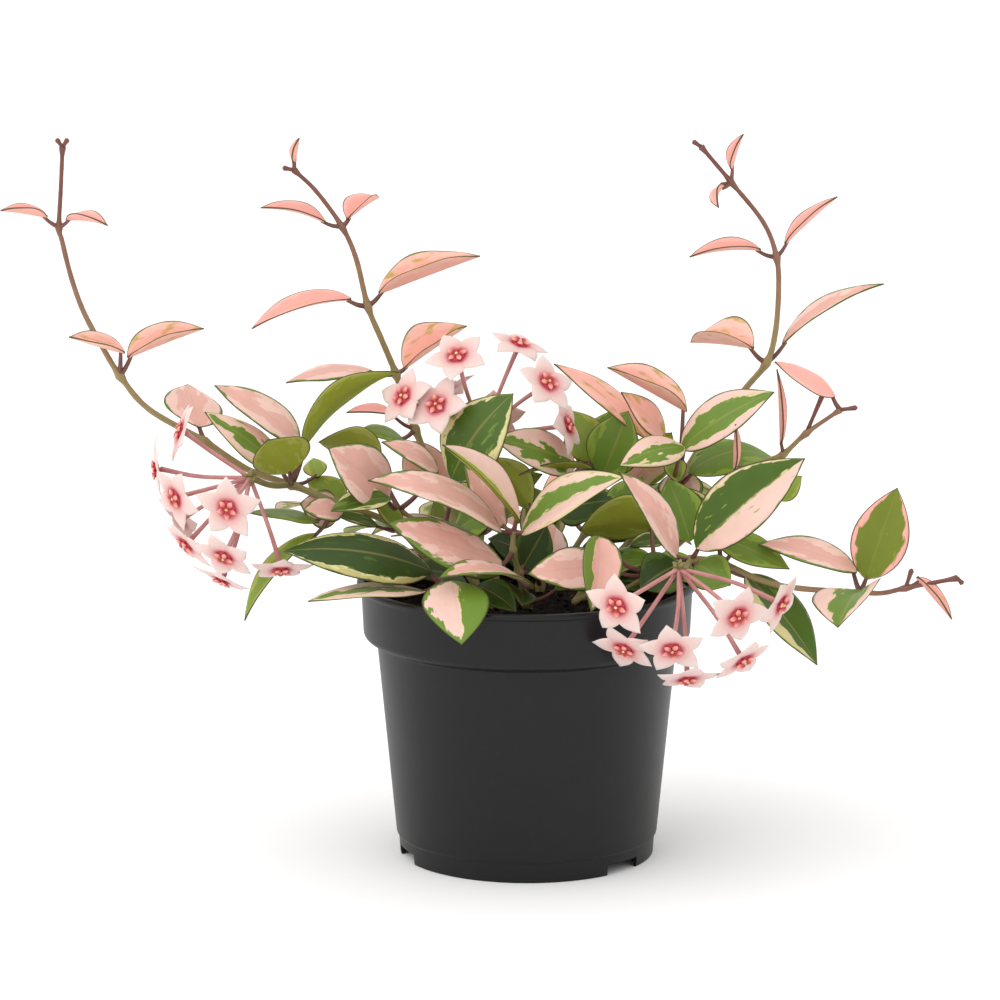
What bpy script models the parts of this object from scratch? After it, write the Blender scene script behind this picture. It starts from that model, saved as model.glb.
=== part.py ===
"""Potted hoya plant: a nursery pot on a notched foot, its soil, twelve rooted shoots, their
leaves and three flower umbels.  Units are metres and +Z is up.  The origin is the centre
of the pot's underside.  Lengths in the tables below are millimetres."""

import bpy
import bmesh
import math
from mathutils import Matrix, Vector

MM = 0.001
PLANT = "potted_hoya"

# ---- pot and soil, millimetres -------------------------------------------------------
POT_HEIGHT = 101.0
RIM_RADIUS = 60.0
LIP_RADIUS = 61.6
LIP_HEIGHT = 2.2
BAND_HEIGHT = 19.0
BAND_FOOT_RADIUS = 59.2
SHOULDER_DROP = 3.0
BODY_TOP_RADIUS = 54.0
BODY_FOOT_RADIUS = 47.5
FOOT_HEIGHT = 8.0
FOOT_RADIUS = 46.2
WALL = 1.4
FLOOR_RISE = 4.0
CENTRE_PAD_RADIUS = 9.0
TURNED_STEPS = 48
NOTCH_ANGLES = (48.5, 168.5, 288.5)
NOTCH_WIDTH = 16.0
NOTCH_HEIGHT = 4.2
NOTCH_DEPTH = 8.0
NOTCH_SINK = 0.3
DRAIN_RADIUS = 4.0
DRAIN_RING = 34.0
DRAIN_CUT_DEPTH = 12.0
SOIL_TOP = 92.8
SOIL_EDGE = 91.0
SOIL_CROWN_RADIUS = 36.0
SOIL_CROWN_DROP = 0.4
SOIL_GAP = 0.4

# ---- shoots, leaves and flowers, millimetres -----------------------------------------
SHOOT_ROOT_RADIUS = 1.5
SHOOT_TIP_RADIUS = 0.8
TUBE_RESOLUTION = 2
LEAF_THICKNESS = 1.2
PETIOLE_HALF_WIDTH = 0.7
LEAF_TIP_HALF_WIDTH = 0.4
JOINT_CLEARANCE = 1.0
PETIOLE_SHARE = 0.45
FOLD_HALF_WIDTH = 3.0
BLADE_STATIONS = (0.0, 0.08, 0.22, 0.38, 0.56, 0.74, 0.89, 1.0)
OUTLINE_FOOT = 0.72
OUTLINE_TIP = 0.95
PEDUNCLE_RADIUS = 1.1
PEDICEL_RADIUS = 0.7
HEAD_RADIUS = 3.0
FLOWER_RADIUS = 12.0
FLOWER_NOTCH_RADIUS = 7.0
FLOWER_DEPTH = 1.8
FLOWER_LOBES = 5
FLOWER_BACK_SHARE = 0.8

# Each shoot is the list of its joints, from the soil to the growing tip.
SHOOTS = {
    "far_left": [(-27, 4, 95), (-46, 2, 119), (-68, -1, 129), (-85, 4, 135), (-101, 12, 139),
                 (-117, 15, 149), (-137, 14, 161), (-147, 10, 174), (-154, 10, 186),
                 (-160, 10, 198), (-164, 10, 210), (-167, 10, 223), (-168, 10, 228),
                 (-167, 9, 242), (-166, 8, 257)],
    "tall_left": [(-18, 16, 95), (-30, 36, 123), (-41, 40, 149), (-48, 38, 170), (-53, 35, 183),
                  (-58, 32, 196), (-62, 28, 214), (-67, 26, 226), (-76, 24, 239), (-84, 23, 247)],
    "tall_right": [(27, 24, 95), (46, 38, 112), (64, 44, 141), (80, 42, 163), (88, 38, 174),
                   (91, 36, 185), (92, 34, 201), (91, 32, 214), (86, 30, 227), (74, 28, 242),
                   (63, 27, 255)],
    "short_right": [(23, 2, 95), (48, 10, 106), (70, 14, 126), (86, 12, 141), (93, 11, 145),
                    (101, 9, 153), (113, 7, 162)],
    "low_right": [(28, -12, 95), (46, -18, 107), (58, -24, 113), (69, -24, 112), (84, -27, 106),
                  (97, -30, 104), (118, -32, 103), (126, -33, 103), (134, -34, 105),
                  (152, -36, 109)],
    "front": [(0, -12, 95), (-3, -18, 107), (-5, -22, 116), (-5, -22, 123)],
    "right": [(21, 8, 95), (41, 16, 116), (52, 18, 130), (56, 17, 141)],
    "left": [(-15, -8, 95), (-31, -2, 116), (-46, -2, 127)],
    "middle": [(5, 16, 95), (7, 22, 115), (14, 24, 133)],
    "low_front": [(-20, -22, 95), (-31, -30, 106)],
    "back_left": [(-12, 30, 95), (-18, 46, 108), (-26, 58, 116)],
    "back_right": [(12, 34, 95), (22, 50, 108), (34, 60, 118)],
}

# Leaves of each shoot: the joint they grow from, the foot and the tip of the blade, its
# width laid flat, the way its upper side faces, the rise of its halves in degrees, and
# the rise of its midrib as a share of its length.
LEAVES = {
    "far_left": [
        (12, (-172, 8, 232), (-188, 2, 235), 9, (0, -2, 10), 55, 0.04),
        (7, (-144, 8, 181), (-117, 18, 190), 18, (0, -3, 10), 50, 0.02),
        (5, (-119, 16, 154), (-125, 44, 165), 22, (4, -10, 6), 5, 0.03),
        (3, (-82, 6, 150), (-113, 12, 170), 17, (0, -5, 10), 15, 0.04),
        (3, (-88, 4, 140), (-116, 2, 162), 16, (0, -6, 10), 10, 0.05),
        (3, (-85, -4, 141), (-92, -27, 157), 22, (-3, 10, 6), 5, 0.05),
        (3, (-81, 2, 149), (-46, 6, 176), 17, (-7, 9, 9), 10, 0.17),
        (2, (-76, -1, 118), (-103, -5, 92), 13, (-8, -5, 5), 30, 0.08),
    ],
    "tall_left": [
        (7, (-73, 24, 228), (-96, 18, 234), 9, (0, -5, 10), 40, 0.08),
        (5, (-64, 30, 199), (-100, 24, 189), 14, (0, -4, 10), 40, 0.06),
        (5, (-54, 31, 201), (-17, 36, 214), 22, (0, -2, 10), 55, 0.0),
        (3, (-57, 34, 172), (-88, 30, 168), 16, (0, -2, 10), 0, 0.07),
        (3, (-45, 38, 172), (-22, 50, 186), 24, (-2, -4, 10), 50, 0.0),
    ],
    "tall_right": [
        (7, (85, 31, 217), (59, 26, 215), 10, (0, -4, 10), 45, 0.06),
        (4, (83, 36, 180), (61, 56, 179), 24, (0, -3, 10), 50, 0.02),
        (4, (94, 39, 181), (131, 41, 203), 13, (-3, -3, 10), 30, 0.07),
    ],
    "short_right": [
        (6, (111, 6, 167), (89, 4, 180), 12, (0, -5, 10), 10, 0.03),
    ],
    "low_right": [
        (6, (120, -33, 108), (131, -28, 140), 21, (0, -10, 2), 15, 0.03),
        (6, (118, -34, 104), (108, -62, 97), 30, (-4, -3, 9), 30, 0.05),
        (6, (117, -30, 110), (82, -26, 119), 15, (0, -6, 10), 15, 0.09),
        (3, (78, -20, 107), (103, -34, 77), 21, (9, -10, 4), 20, 0.06),
        (2, (53, -30, 115), (32, -40, 148), 19, (9, -7, 7), 20, 0.05),
        (2, (60, -28, 118), (98, -30, 151), 27, (-3, -9, 5), 28, 0.02),
        (1, (46, -6, 123), (19, -14, 122), 24, (0, 9, 6), 10, 0.12),
        (1, (25, -46, 126), (22, -64, 103), 21, (3, -10, 4), 45, 0.03),
    ],
    "front": [
        (3, (-9, -24, 123), (-56, -46, 146), 22, (1, -5, 10), 15, 0.11),
        (2, (-8, -26, 111), (-49, -52, 132), 23, (2, -9, 10), 5, 0.03),
        (1, (2, -34, 105), (-31, -60, 114), 19, (0, -2, 10), 15, 0.11),
        (3, (-3, -20, 126), (-30, -36, 157), 20, (7, -4, 7), 38, 0.03),
        (3, (-2, -22, 122), (34, -34, 145), 26, (-2, -5, 10), 20, 0.06),
    ],
    "right": [
        (3, (58, 16, 160), (29, 10, 177), 21, (0, -3, 10), 45, 0.01),
        (3, (56, 12, 147), (89, 4, 169), 20, (-3, -10, 10), 15, 0.06),
        (2, (59, 16, 137), (90, 25, 141), 21, (0, -5, 10), 5, 0.16),
    ],
    "left": [
        (2, (-50, -6, 131), (-71, -16, 152), 24, (3, -10, 8), 15, 0.06),
        (1, (-27, -6, 139), (-5, -11, 171), 26, (-5, -10, 3), 5, 0.1),
    ],
    "middle": [
        (2, (18, 20, 139), (-12, -3, 153), 17, (1, -10, 6), 5, 0.05),
        (2, (28, 24, 135), (37, 22, 159), 22, (-4, -10, 2), 15, 0.04),
    ],
    "low_front": [
        (1, (-34, -30, 110), (-86, -38, 119), 26, (0, -6, 10), 0, 0.1),
        (1, (-27, -46, 110), (-23, -72, 93), 24, (1, -10, 5), 8, 0.1),
    ],
    "back_left": [
        (2, (-32, 62, 119), (-66, 84, 118), 24, (0, 3, 10), 15, 0.12),
        (2, (-26, 66, 118), (-30, 96, 92), 24, (0, 7, 8), 10, 0.1),
    ],
    "back_right": [
        (2, (42, 66, 121), (76, 80, 112), 24, (2, 4, 10), 15, 0.12),
        (2, (34, 68, 120), (20, 100, 104), 24, (0, 5, 10), 10, 0.1),
    ],
}

# Umbels: the shoot and joint the flower stalk grows from, the head, and where each
# flower sits from the head.
UMBELS = {
    "left": ("far_left", 3, (-99, -14, 141),
             [(-24, 4, 16), (-33, 6, 2), (-25, -16, -4), (-6, -30, -5), (-22, -8, -22),
              (-8, -20, -24), (-10, -2, -36), (11, -8, -31), (-26, 20, -19)]),
    "top": ("tall_left", 1, (-16, 12, 152),
            [(-9, -16, 31), (-28, -14, 16), (-16, -20, 14), (13, 4, 32), (23, -14, 21),
             (30, 2, 3), (-13, 20, 12), (4, 24, 2)]),
    "right": ("low_right", 2, (53, -48, 115),
              [(-22, -28, -7), (19, -26, -11), (-3, -24, -23), (-19, -14, -25),
               (22, -10, -30), (3, -8, -37), (35, -6, -11)]),
}

POT_COLOUR = (0.030, 0.031, 0.034)
SOIL_COLOUR = (0.022, 0.012, 0.007)
SHOOT_COLOUR = (0.27, 0.16, 0.08)
LEAF_PINK = (0.78, 0.42, 0.34)
LEAF_GREEN = (0.09, 0.22, 0.03)
FLOWER_COLOUR = (0.85, 0.66, 0.60)


def clear_scene():
    for item in list(bpy.data.objects):
        bpy.data.objects.remove(item, do_unlink=True)


def new_collection(name, helper=False):
    group = bpy.data.collections.new(name)
    bpy.context.scene.collection.children.link(group)
    group.hide_render = helper
    return group


def principled(name, colour, roughness):
    material = bpy.data.materials.new(name)
    material.use_nodes = True
    shader = material.node_tree.nodes["Principled BSDF"]
    shader.inputs["Base Color"].default_value = (*colour, 1.0)
    shader.inputs["Roughness"].default_value = roughness
    shader.inputs["Metallic"].default_value = 0.0
    return material


def place(name, mesh, group, material=None):
    item = bpy.data.objects.new(name, mesh)
    group.objects.link(item)
    if material:
        mesh.materials.append(material)
    return item


def make_helper(item):
    item.hide_render = True
    item.display_type = "WIRE"


def point(place_mm):
    return Vector(place_mm) * MM


def add_boolean(item, operation, tool):
    cut = item.modifiers.new(tool.name, "BOOLEAN")
    cut.operation = operation
    cut.solver = "EXACT"
    if isinstance(tool, bpy.types.Collection):
        cut.operand_type = "COLLECTION"
        cut.collection = tool
    else:
        cut.object = tool


def smooth(mesh, angle=35.0):
    mesh.shade_smooth()
    mesh.set_sharp_from_angle(angle=math.radians(angle))


# ---- turned pieces -------------------------------------------------------------------
def turned(name, profile, group, material):
    """Spin a profile of (radius, height) in millimetres, both ends on the axis."""
    shape = bmesh.new()
    corners = [shape.verts.new((radius * MM, 0.0, height * MM)) for radius, height in profile]
    for first, second in zip(corners, corners[1:]):
        shape.edges.new((first, second))
    mesh = bpy.data.meshes.new(name)
    shape.to_mesh(mesh)
    shape.free()
    item = place(name, mesh, group, material)
    spin = item.modifiers.new("turn", "SCREW")
    spin.steps = TURNED_STEPS
    spin.render_steps = TURNED_STEPS
    spin.use_merge_vertices = True
    spin.merge_threshold = 0.00001
    spin.use_smooth_shade = True
    return item


def inner_radius(height):
    """Radius inside the pot's wall at a height above the floor, millimetres."""
    shoulder_top = POT_HEIGHT - BAND_HEIGHT
    body_top = shoulder_top - SHOULDER_DROP
    if height <= body_top:
        share = (height - FOOT_HEIGHT) / (body_top - FOOT_HEIGHT)
        outer = BODY_FOOT_RADIUS + (BODY_TOP_RADIUS - BODY_FOOT_RADIUS) * max(share, 0.0)
    else:
        share = min((height - body_top) / SHOULDER_DROP, 1.0)
        outer = BODY_TOP_RADIUS + (BAND_FOOT_RADIUS - BODY_TOP_RADIUS) * share
    return outer - WALL


def pot_profile():
    shoulder_top = POT_HEIGHT - BAND_HEIGHT
    body_top = shoulder_top - SHOULDER_DROP
    floor_top = FLOOR_RISE + WALL
    foot_inner = FOOT_RADIUS - WALL
    inner = [(0.0, floor_top), (inner_radius(0.0) - 0.8, floor_top),
             (inner_radius(0.0), floor_top + 1.5), (inner_radius(body_top), body_top),
             (inner_radius(shoulder_top), shoulder_top), (RIM_RADIUS - WALL, POT_HEIGHT - 0.8),
             (RIM_RADIUS - WALL + 0.5, POT_HEIGHT)]
    outer = [(LIP_RADIUS - 0.6, POT_HEIGHT), (LIP_RADIUS, POT_HEIGHT - 0.6),
             (LIP_RADIUS, POT_HEIGHT - LIP_HEIGHT + 0.5), (RIM_RADIUS, POT_HEIGHT - LIP_HEIGHT),
             (BAND_FOOT_RADIUS, shoulder_top), (BAND_FOOT_RADIUS - 0.9, shoulder_top - 1.6),
             (BODY_TOP_RADIUS + 1.6, body_top + 0.5), (BODY_TOP_RADIUS, body_top - 1.0),
             (BODY_FOOT_RADIUS, FOOT_HEIGHT), (FOOT_RADIUS + 0.6, FOOT_HEIGHT - 0.5),
             (FOOT_RADIUS, 0.0)]
    under = [(foot_inner, 0.0), (foot_inner, FLOOR_RISE), (CENTRE_PAD_RADIUS + 1.0, FLOOR_RISE),
             (CENTRE_PAD_RADIUS, 0.0), (0.0, 0.0)]
    return inner + outer + under


def around(radius, degrees, height):
    """A place on a ring, its angle counted from the front towards the right."""
    turn = math.radians(degrees)
    return Vector((radius * math.sin(turn), -radius * math.cos(turn), height)) * MM


def foot_notch(name, degrees, group):
    shape = bmesh.new()
    bmesh.ops.create_cube(shape, size=1.0)
    size = Matrix.Diagonal((NOTCH_WIDTH * MM, NOTCH_DEPTH * MM, 2.0 * NOTCH_HEIGHT * MM, 1.0))
    turn = Matrix.Rotation(math.radians(degrees), 4, "Z")
    bmesh.ops.transform(shape, matrix=turn @ size, verts=shape.verts)
    mesh = bpy.data.meshes.new(name)
    shape.to_mesh(mesh)
    shape.free()
    cutter = place(name, mesh, group)
    cutter.location = around(FOOT_RADIUS, degrees, -NOTCH_SINK)
    make_helper(cutter)
    return cutter


def drain_hole(name, degrees, group):
    shape = bmesh.new()
    bmesh.ops.create_cone(shape, cap_ends=True, segments=16, radius1=DRAIN_RADIUS * MM,
                          radius2=DRAIN_RADIUS * MM, depth=DRAIN_CUT_DEPTH * MM)
    mesh = bpy.data.meshes.new(name)
    shape.to_mesh(mesh)
    shape.free()
    cutter = place(name, mesh, group)
    cutter.location = around(DRAIN_RING, degrees, FLOOR_RISE)
    make_helper(cutter)
    return cutter


def build_pot(parts, helpers):
    pot = turned("pot", pot_profile(), parts, principled("pot", POT_COLOUR, 0.42))
    for number, degrees in enumerate(NOTCH_ANGLES, 1):
        add_boolean(pot, "DIFFERENCE", foot_notch(f"foot_notch_{number}", degrees, helpers))
        add_boolean(pot, "DIFFERENCE", drain_hole(f"drain_hole_{number}", degrees + 60.0, helpers))


def build_soil(parts):
    body_top = POT_HEIGHT - BAND_HEIGHT - SHOULDER_DROP
    shoulder_top = POT_HEIGHT - BAND_HEIGHT
    floor_top = FLOOR_RISE + WALL + SOIL_GAP
    gap = SOIL_GAP
    profile = [(0.0, SOIL_TOP), (SOIL_CROWN_RADIUS, SOIL_TOP - SOIL_CROWN_DROP),
               (inner_radius(SOIL_EDGE) - gap, SOIL_EDGE),
               (inner_radius(shoulder_top) - gap, shoulder_top + gap),
               (inner_radius(body_top) - gap, body_top + gap),
               (inner_radius(0.0) - gap, floor_top + 2.0),
               (inner_radius(0.0) - 2.0, floor_top), (0.0, floor_top)]
    turned("soil", profile, parts, principled("soil", SOIL_COLOUR, 0.95))


# ---- tubes ---------------------------------------------------------------------------
def tube_curve(name, route, radii, group, material=None):
    """A round solid along a route in metres, with a radius at each point."""
    curve = bpy.data.curves.new(name, "CURVE")
    curve.dimensions = "3D"
    curve.bevel_depth = 1.0
    curve.bevel_resolution = TUBE_RESOLUTION
    curve.use_fill_caps = True
    spline = curve.splines.new("POLY")
    spline.points.add(len(route) - 1)
    for spot, position, radius in zip(spline.points, route, radii):
        spot.co = (*position, 1.0)
        spot.radius = radius
    return place(name, curve, group, material)


def tube_mesh(name, route, radii, group):
    """The same tube as a closed mesh, for joining to others."""
    tube = tube_curve(name + "_curve", route, radii, group)
    bpy.context.view_layer.update()
    depsgraph = bpy.context.evaluated_depsgraph_get()
    mesh = bpy.data.meshes.new_from_object(tube.evaluated_get(depsgraph))
    mesh.name = name
    shape = bmesh.new()
    shape.from_mesh(mesh)
    bmesh.ops.remove_doubles(shape, verts=shape.verts, dist=0.000005)
    shape.to_mesh(mesh)
    shape.free()
    item = place(name, mesh, group)
    item.matrix_world = tube.matrix_world
    bpy.data.objects.remove(tube, do_unlink=True)
    return item


def shoot_radius(shoot, joint):
    share = joint / (len(SHOOTS[shoot]) - 1)
    return (SHOOT_ROOT_RADIUS + (SHOOT_TIP_RADIUS - SHOOT_ROOT_RADIUS) * share) * MM


def build_shoot(shoot, parts, material):
    route = [point(joint) for joint in SHOOTS[shoot]]
    radii = [shoot_radius(shoot, joint) for joint in range(len(route))]
    tube_curve("shoot_" + shoot, route, radii, parts, material)


# ---- leaves --------------------------------------------------------------------------
def outline(share):
    """Half width of a blade at a share of its length, 1 at its widest."""
    widest = OUTLINE_FOOT / (OUTLINE_FOOT + OUTLINE_TIP)
    peak = widest ** OUTLINE_FOOT * (1.0 - widest) ** OUTLINE_TIP
    return share ** OUTLINE_FOOT * (1.0 - share) ** OUTLINE_TIP / peak


def leaf_stations(shoot, joint, foot, tip, width, face, fold, arch):
    """Centre, across and up vectors, half width and rise at each station of a leaf.

    The fold fades where the blade narrows, so its two halves don't press into each other.
    """
    start = point(SHOOTS[shoot][joint])
    foot = point(foot)
    tip = point(tip)
    along = (tip - foot).normalized()
    across = along.cross(Vector(face)).normalized()
    up = across.cross(along)
    length = (tip - foot).length
    reach = (foot - start).length
    share = max(PETIOLE_SHARE, (shoot_radius(shoot, joint) + JOINT_CLEARANCE * MM) / reach)
    begin = start.lerp(foot, min(share, 0.8))
    down_stalk = (foot - begin).normalized()
    stalk_up = across.cross(down_stalk)
    stations = [(begin, across, stalk_up, PETIOLE_HALF_WIDTH * MM, 0.0)]
    for share in BLADE_STATIONS:
        bow = 4.0 * arch * share * (1.0 - share)
        slope = 4.0 * arch * (1.0 - 2.0 * share)
        centre = foot + along * (length * share) + up * (length * bow)
        raised = across.cross((along + up * slope).normalized())
        least = (PETIOLE_HALF_WIDTH if share < 0.5 else LEAF_TIP_HALF_WIDTH) * MM
        half = max(outline(share) * width * 0.5 * MM, least)
        rise = math.radians(fold) * min(half / (FOLD_HALF_WIDTH * MM), 1.0)
        stations.append((centre, across, raised, half, rise))
    return stations


def build_leaf(name, shoot, leaf, parts, material):
    """A flat grid bent into a petiole and a folded, arched blade, then given thickness."""
    stations = leaf_stations(shoot, *leaf)
    shape = bmesh.new()
    rows = len(stations) - 1
    bmesh.ops.create_grid(shape, x_segments=rows, y_segments=2, size=1.0)
    for corner in shape.verts:
        row = round((corner.co.x + 1.0) * 0.5 * rows)
        side = corner.co.y
        centre, across, up, half, rise = stations[row]
        spread = across * (side * half * math.cos(rise))
        corner.co = centre + spread + up * (abs(side) * half * math.sin(rise))
    mesh = bpy.data.meshes.new(name)
    shape.to_mesh(mesh)
    shape.free()
    item = place(name, mesh, parts, material)
    thicken = item.modifiers.new("thickness", "SOLIDIFY")
    thicken.thickness = LEAF_THICKNESS * MM
    thicken.offset = 0.0
    smooth(mesh, 60.0)
    return item


# ---- umbels --------------------------------------------------------------------------
def star_solid(name, centre, face, group):
    """A five-lobed flower as a shallow star, its open side along face."""
    shape = bmesh.new()
    bmesh.ops.create_cone(shape, cap_ends=True, segments=2 * FLOWER_LOBES, radius1=1.0,
                          radius2=FLOWER_BACK_SHARE, depth=FLOWER_DEPTH * MM)
    for corner in shape.verts:
        turn = math.atan2(corner.co.y, corner.co.x)
        spoke = round(turn / (math.pi / FLOWER_LOBES))
        radius = FLOWER_RADIUS if spoke % 2 == 0 else FLOWER_NOTCH_RADIUS
        corner.co.x *= radius * MM
        corner.co.y *= radius * MM
    aim = Vector(face).to_track_quat("-Z", "Y").to_matrix().to_4x4()
    bmesh.ops.transform(shape, matrix=Matrix.Translation(centre) @ aim, verts=shape.verts)
    mesh = bpy.data.meshes.new(name)
    shape.to_mesh(mesh)
    shape.free()
    item = place(name, mesh, group)
    make_helper(item)
    return item


def build_umbel(name, umbel, parts, material):
    """The stalk, its rounded head, and a pedicel with a star flower for each place."""
    shoot, joint, head_mm, flowers = umbel
    pieces = new_collection(f"{name}_pieces", helper=True)
    head = point(head_mm)
    start = point(SHOOTS[shoot][joint])
    reach = (head - start).length
    share = (shoot_radius(shoot, joint) + JOINT_CLEARANCE * MM) / reach
    begin = start.lerp(head, share)
    radius = PEDUNCLE_RADIUS * MM
    stalk = tube_mesh("umbel_" + name, [begin, head], [radius, radius], parts)
    stalk.data.materials.append(material)
    shape = bmesh.new()
    bmesh.ops.create_icosphere(shape, subdivisions=1, radius=HEAD_RADIUS * MM,
                               matrix=Matrix.Translation(head))
    mesh = bpy.data.meshes.new(f"{name}_head")
    shape.to_mesh(mesh)
    shape.free()
    make_helper(place(f"{name}_head", mesh, pieces))
    for number, offset in enumerate(flowers, 1):
        spot = head + point(offset)
        thin = PEDICEL_RADIUS * MM
        route = [head, head.lerp(spot, 0.5), spot]
        make_helper(tube_mesh(f"{name}_pedicel_{number}", route, [thin] * 3, pieces))
        star_solid(f"{name}_flower_{number}", spot, offset, pieces)
    add_boolean(stalk, "UNION", pieces)


def main():
    clear_scene()
    parts = new_collection(PLANT)
    helpers = new_collection("cutters", helper=True)
    build_pot(parts, helpers)
    build_soil(parts)
    for shoot in SHOOTS:
        build_shoot(shoot, parts, principled("shoot_" + shoot, SHOOT_COLOUR, 0.6))
    for shoot, leaves in LEAVES.items():
        for number, leaf in enumerate(leaves, 1):
            name = f"leaf_{shoot}_{number}"
            colour = LEAF_PINK if number % 2 else LEAF_GREEN
            build_leaf(name, shoot, leaf, parts, principled(name, colour, 0.4))
    for name, umbel in UMBELS.items():
        build_umbel(name, umbel, parts, principled("umbel_" + name, FLOWER_COLOUR, 0.5))


main()
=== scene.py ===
"""Potted hoya plant, the looks: a variegated wax plant in flower, in a black nursery pot.

Lengths in the tables are millimetres.  The origin is the centre of the pot's underside, +Z is
up and -Y is the front.  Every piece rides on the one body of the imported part."""

import math
import random

import bmesh
import bpy
from mathutils import Matrix, Vector, noise


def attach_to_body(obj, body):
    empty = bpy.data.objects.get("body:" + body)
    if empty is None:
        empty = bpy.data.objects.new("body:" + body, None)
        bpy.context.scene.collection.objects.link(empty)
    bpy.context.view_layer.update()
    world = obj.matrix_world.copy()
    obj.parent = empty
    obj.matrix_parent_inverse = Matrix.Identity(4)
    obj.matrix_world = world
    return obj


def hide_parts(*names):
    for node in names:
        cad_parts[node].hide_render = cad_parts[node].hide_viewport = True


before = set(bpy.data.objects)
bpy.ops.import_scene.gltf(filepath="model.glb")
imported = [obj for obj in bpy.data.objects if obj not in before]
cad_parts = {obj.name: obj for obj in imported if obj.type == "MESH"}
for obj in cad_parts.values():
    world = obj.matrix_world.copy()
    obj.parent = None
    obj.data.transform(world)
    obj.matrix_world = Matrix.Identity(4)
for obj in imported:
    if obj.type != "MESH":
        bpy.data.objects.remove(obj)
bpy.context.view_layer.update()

MM = 0.001
BODY = "root"

# ---- the planting plan, millimetres --------------------------------------------------
SOIL_TOP = 92.8
SHOOT_ROOT_RADIUS = 1.35
SHOOT_TIP_RADIUS = 0.75

# Each shoot is the list of its joints, from the soil to the growing tip.
SHOOTS = {
    "far_left": [(-27, 4, 95), (-46, 2, 119), (-68, -1, 129), (-85, 4, 135), (-101, 12, 139),
                 (-117, 15, 149), (-137, 14, 161), (-147, 10, 174), (-154, 10, 186),
                 (-160, 10, 198), (-164, 10, 210), (-167, 10, 223), (-168, 10, 228),
                 (-167, 9, 242), (-166, 8, 257)],
    "tall_left": [(-18, 16, 95), (-30, 36, 123), (-41, 40, 149), (-48, 38, 170), (-53, 35, 183),
                  (-58, 32, 196), (-62, 28, 214), (-67, 26, 226), (-76, 24, 239), (-84, 23, 247)],
    "tall_right": [(27, 24, 95), (46, 38, 112), (64, 44, 141), (80, 42, 163), (88, 38, 174),
                   (91, 36, 185), (92, 34, 201), (91, 32, 214), (86, 30, 227), (74, 28, 242),
                   (63, 27, 255)],
    "short_right": [(23, 2, 95), (48, 10, 106), (70, 14, 126), (86, 12, 141), (93, 11, 145),
                    (101, 9, 153), (113, 7, 162)],
    "low_right": [(28, -12, 95), (46, -18, 107), (58, -24, 113), (69, -24, 112), (84, -27, 106),
                  (97, -30, 104), (118, -32, 103), (126, -33, 103), (134, -34, 105),
                  (152, -36, 109)],
    "front": [(0, -12, 95), (-3, -18, 107), (-5, -22, 116), (-5, -22, 123)],
    "right": [(21, 8, 95), (41, 16, 116), (52, 18, 130), (56, 17, 141)],
    "left": [(-15, -8, 95), (-31, -2, 116), (-46, -2, 127)],
    "middle": [(5, 16, 95), (7, 22, 115), (14, 24, 133)],
    "low_front": [(-20, -22, 95), (-31, -30, 106)],
    "back_left": [(-12, 30, 95), (-18, 46, 108), (-26, 58, 116)],
    "back_right": [(12, 34, 95), (22, 50, 108), (34, 60, 118)],
}

# Cut or resting side buds: the shoot, the joint that the stub grows from and where it ends.
STUBS = [
    ("far_left", 14, (-168, 7, 260)), ("far_left", 14, (-164, 7, 260)),
    ("tall_left", 9, (-88, 22, 248)), ("tall_left", 9, (-84, 22, 252)),
    ("tall_right", 10, (60, 27, 257)), ("tall_right", 9, (70, 27, 241)),
    ("short_right", 6, (119, 6, 163)), ("short_right", 5, (107, 8, 168)),
    ("low_right", 8, (136, -35, 112)), ("low_right", 9, (154, -36, 107)),
]

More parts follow.
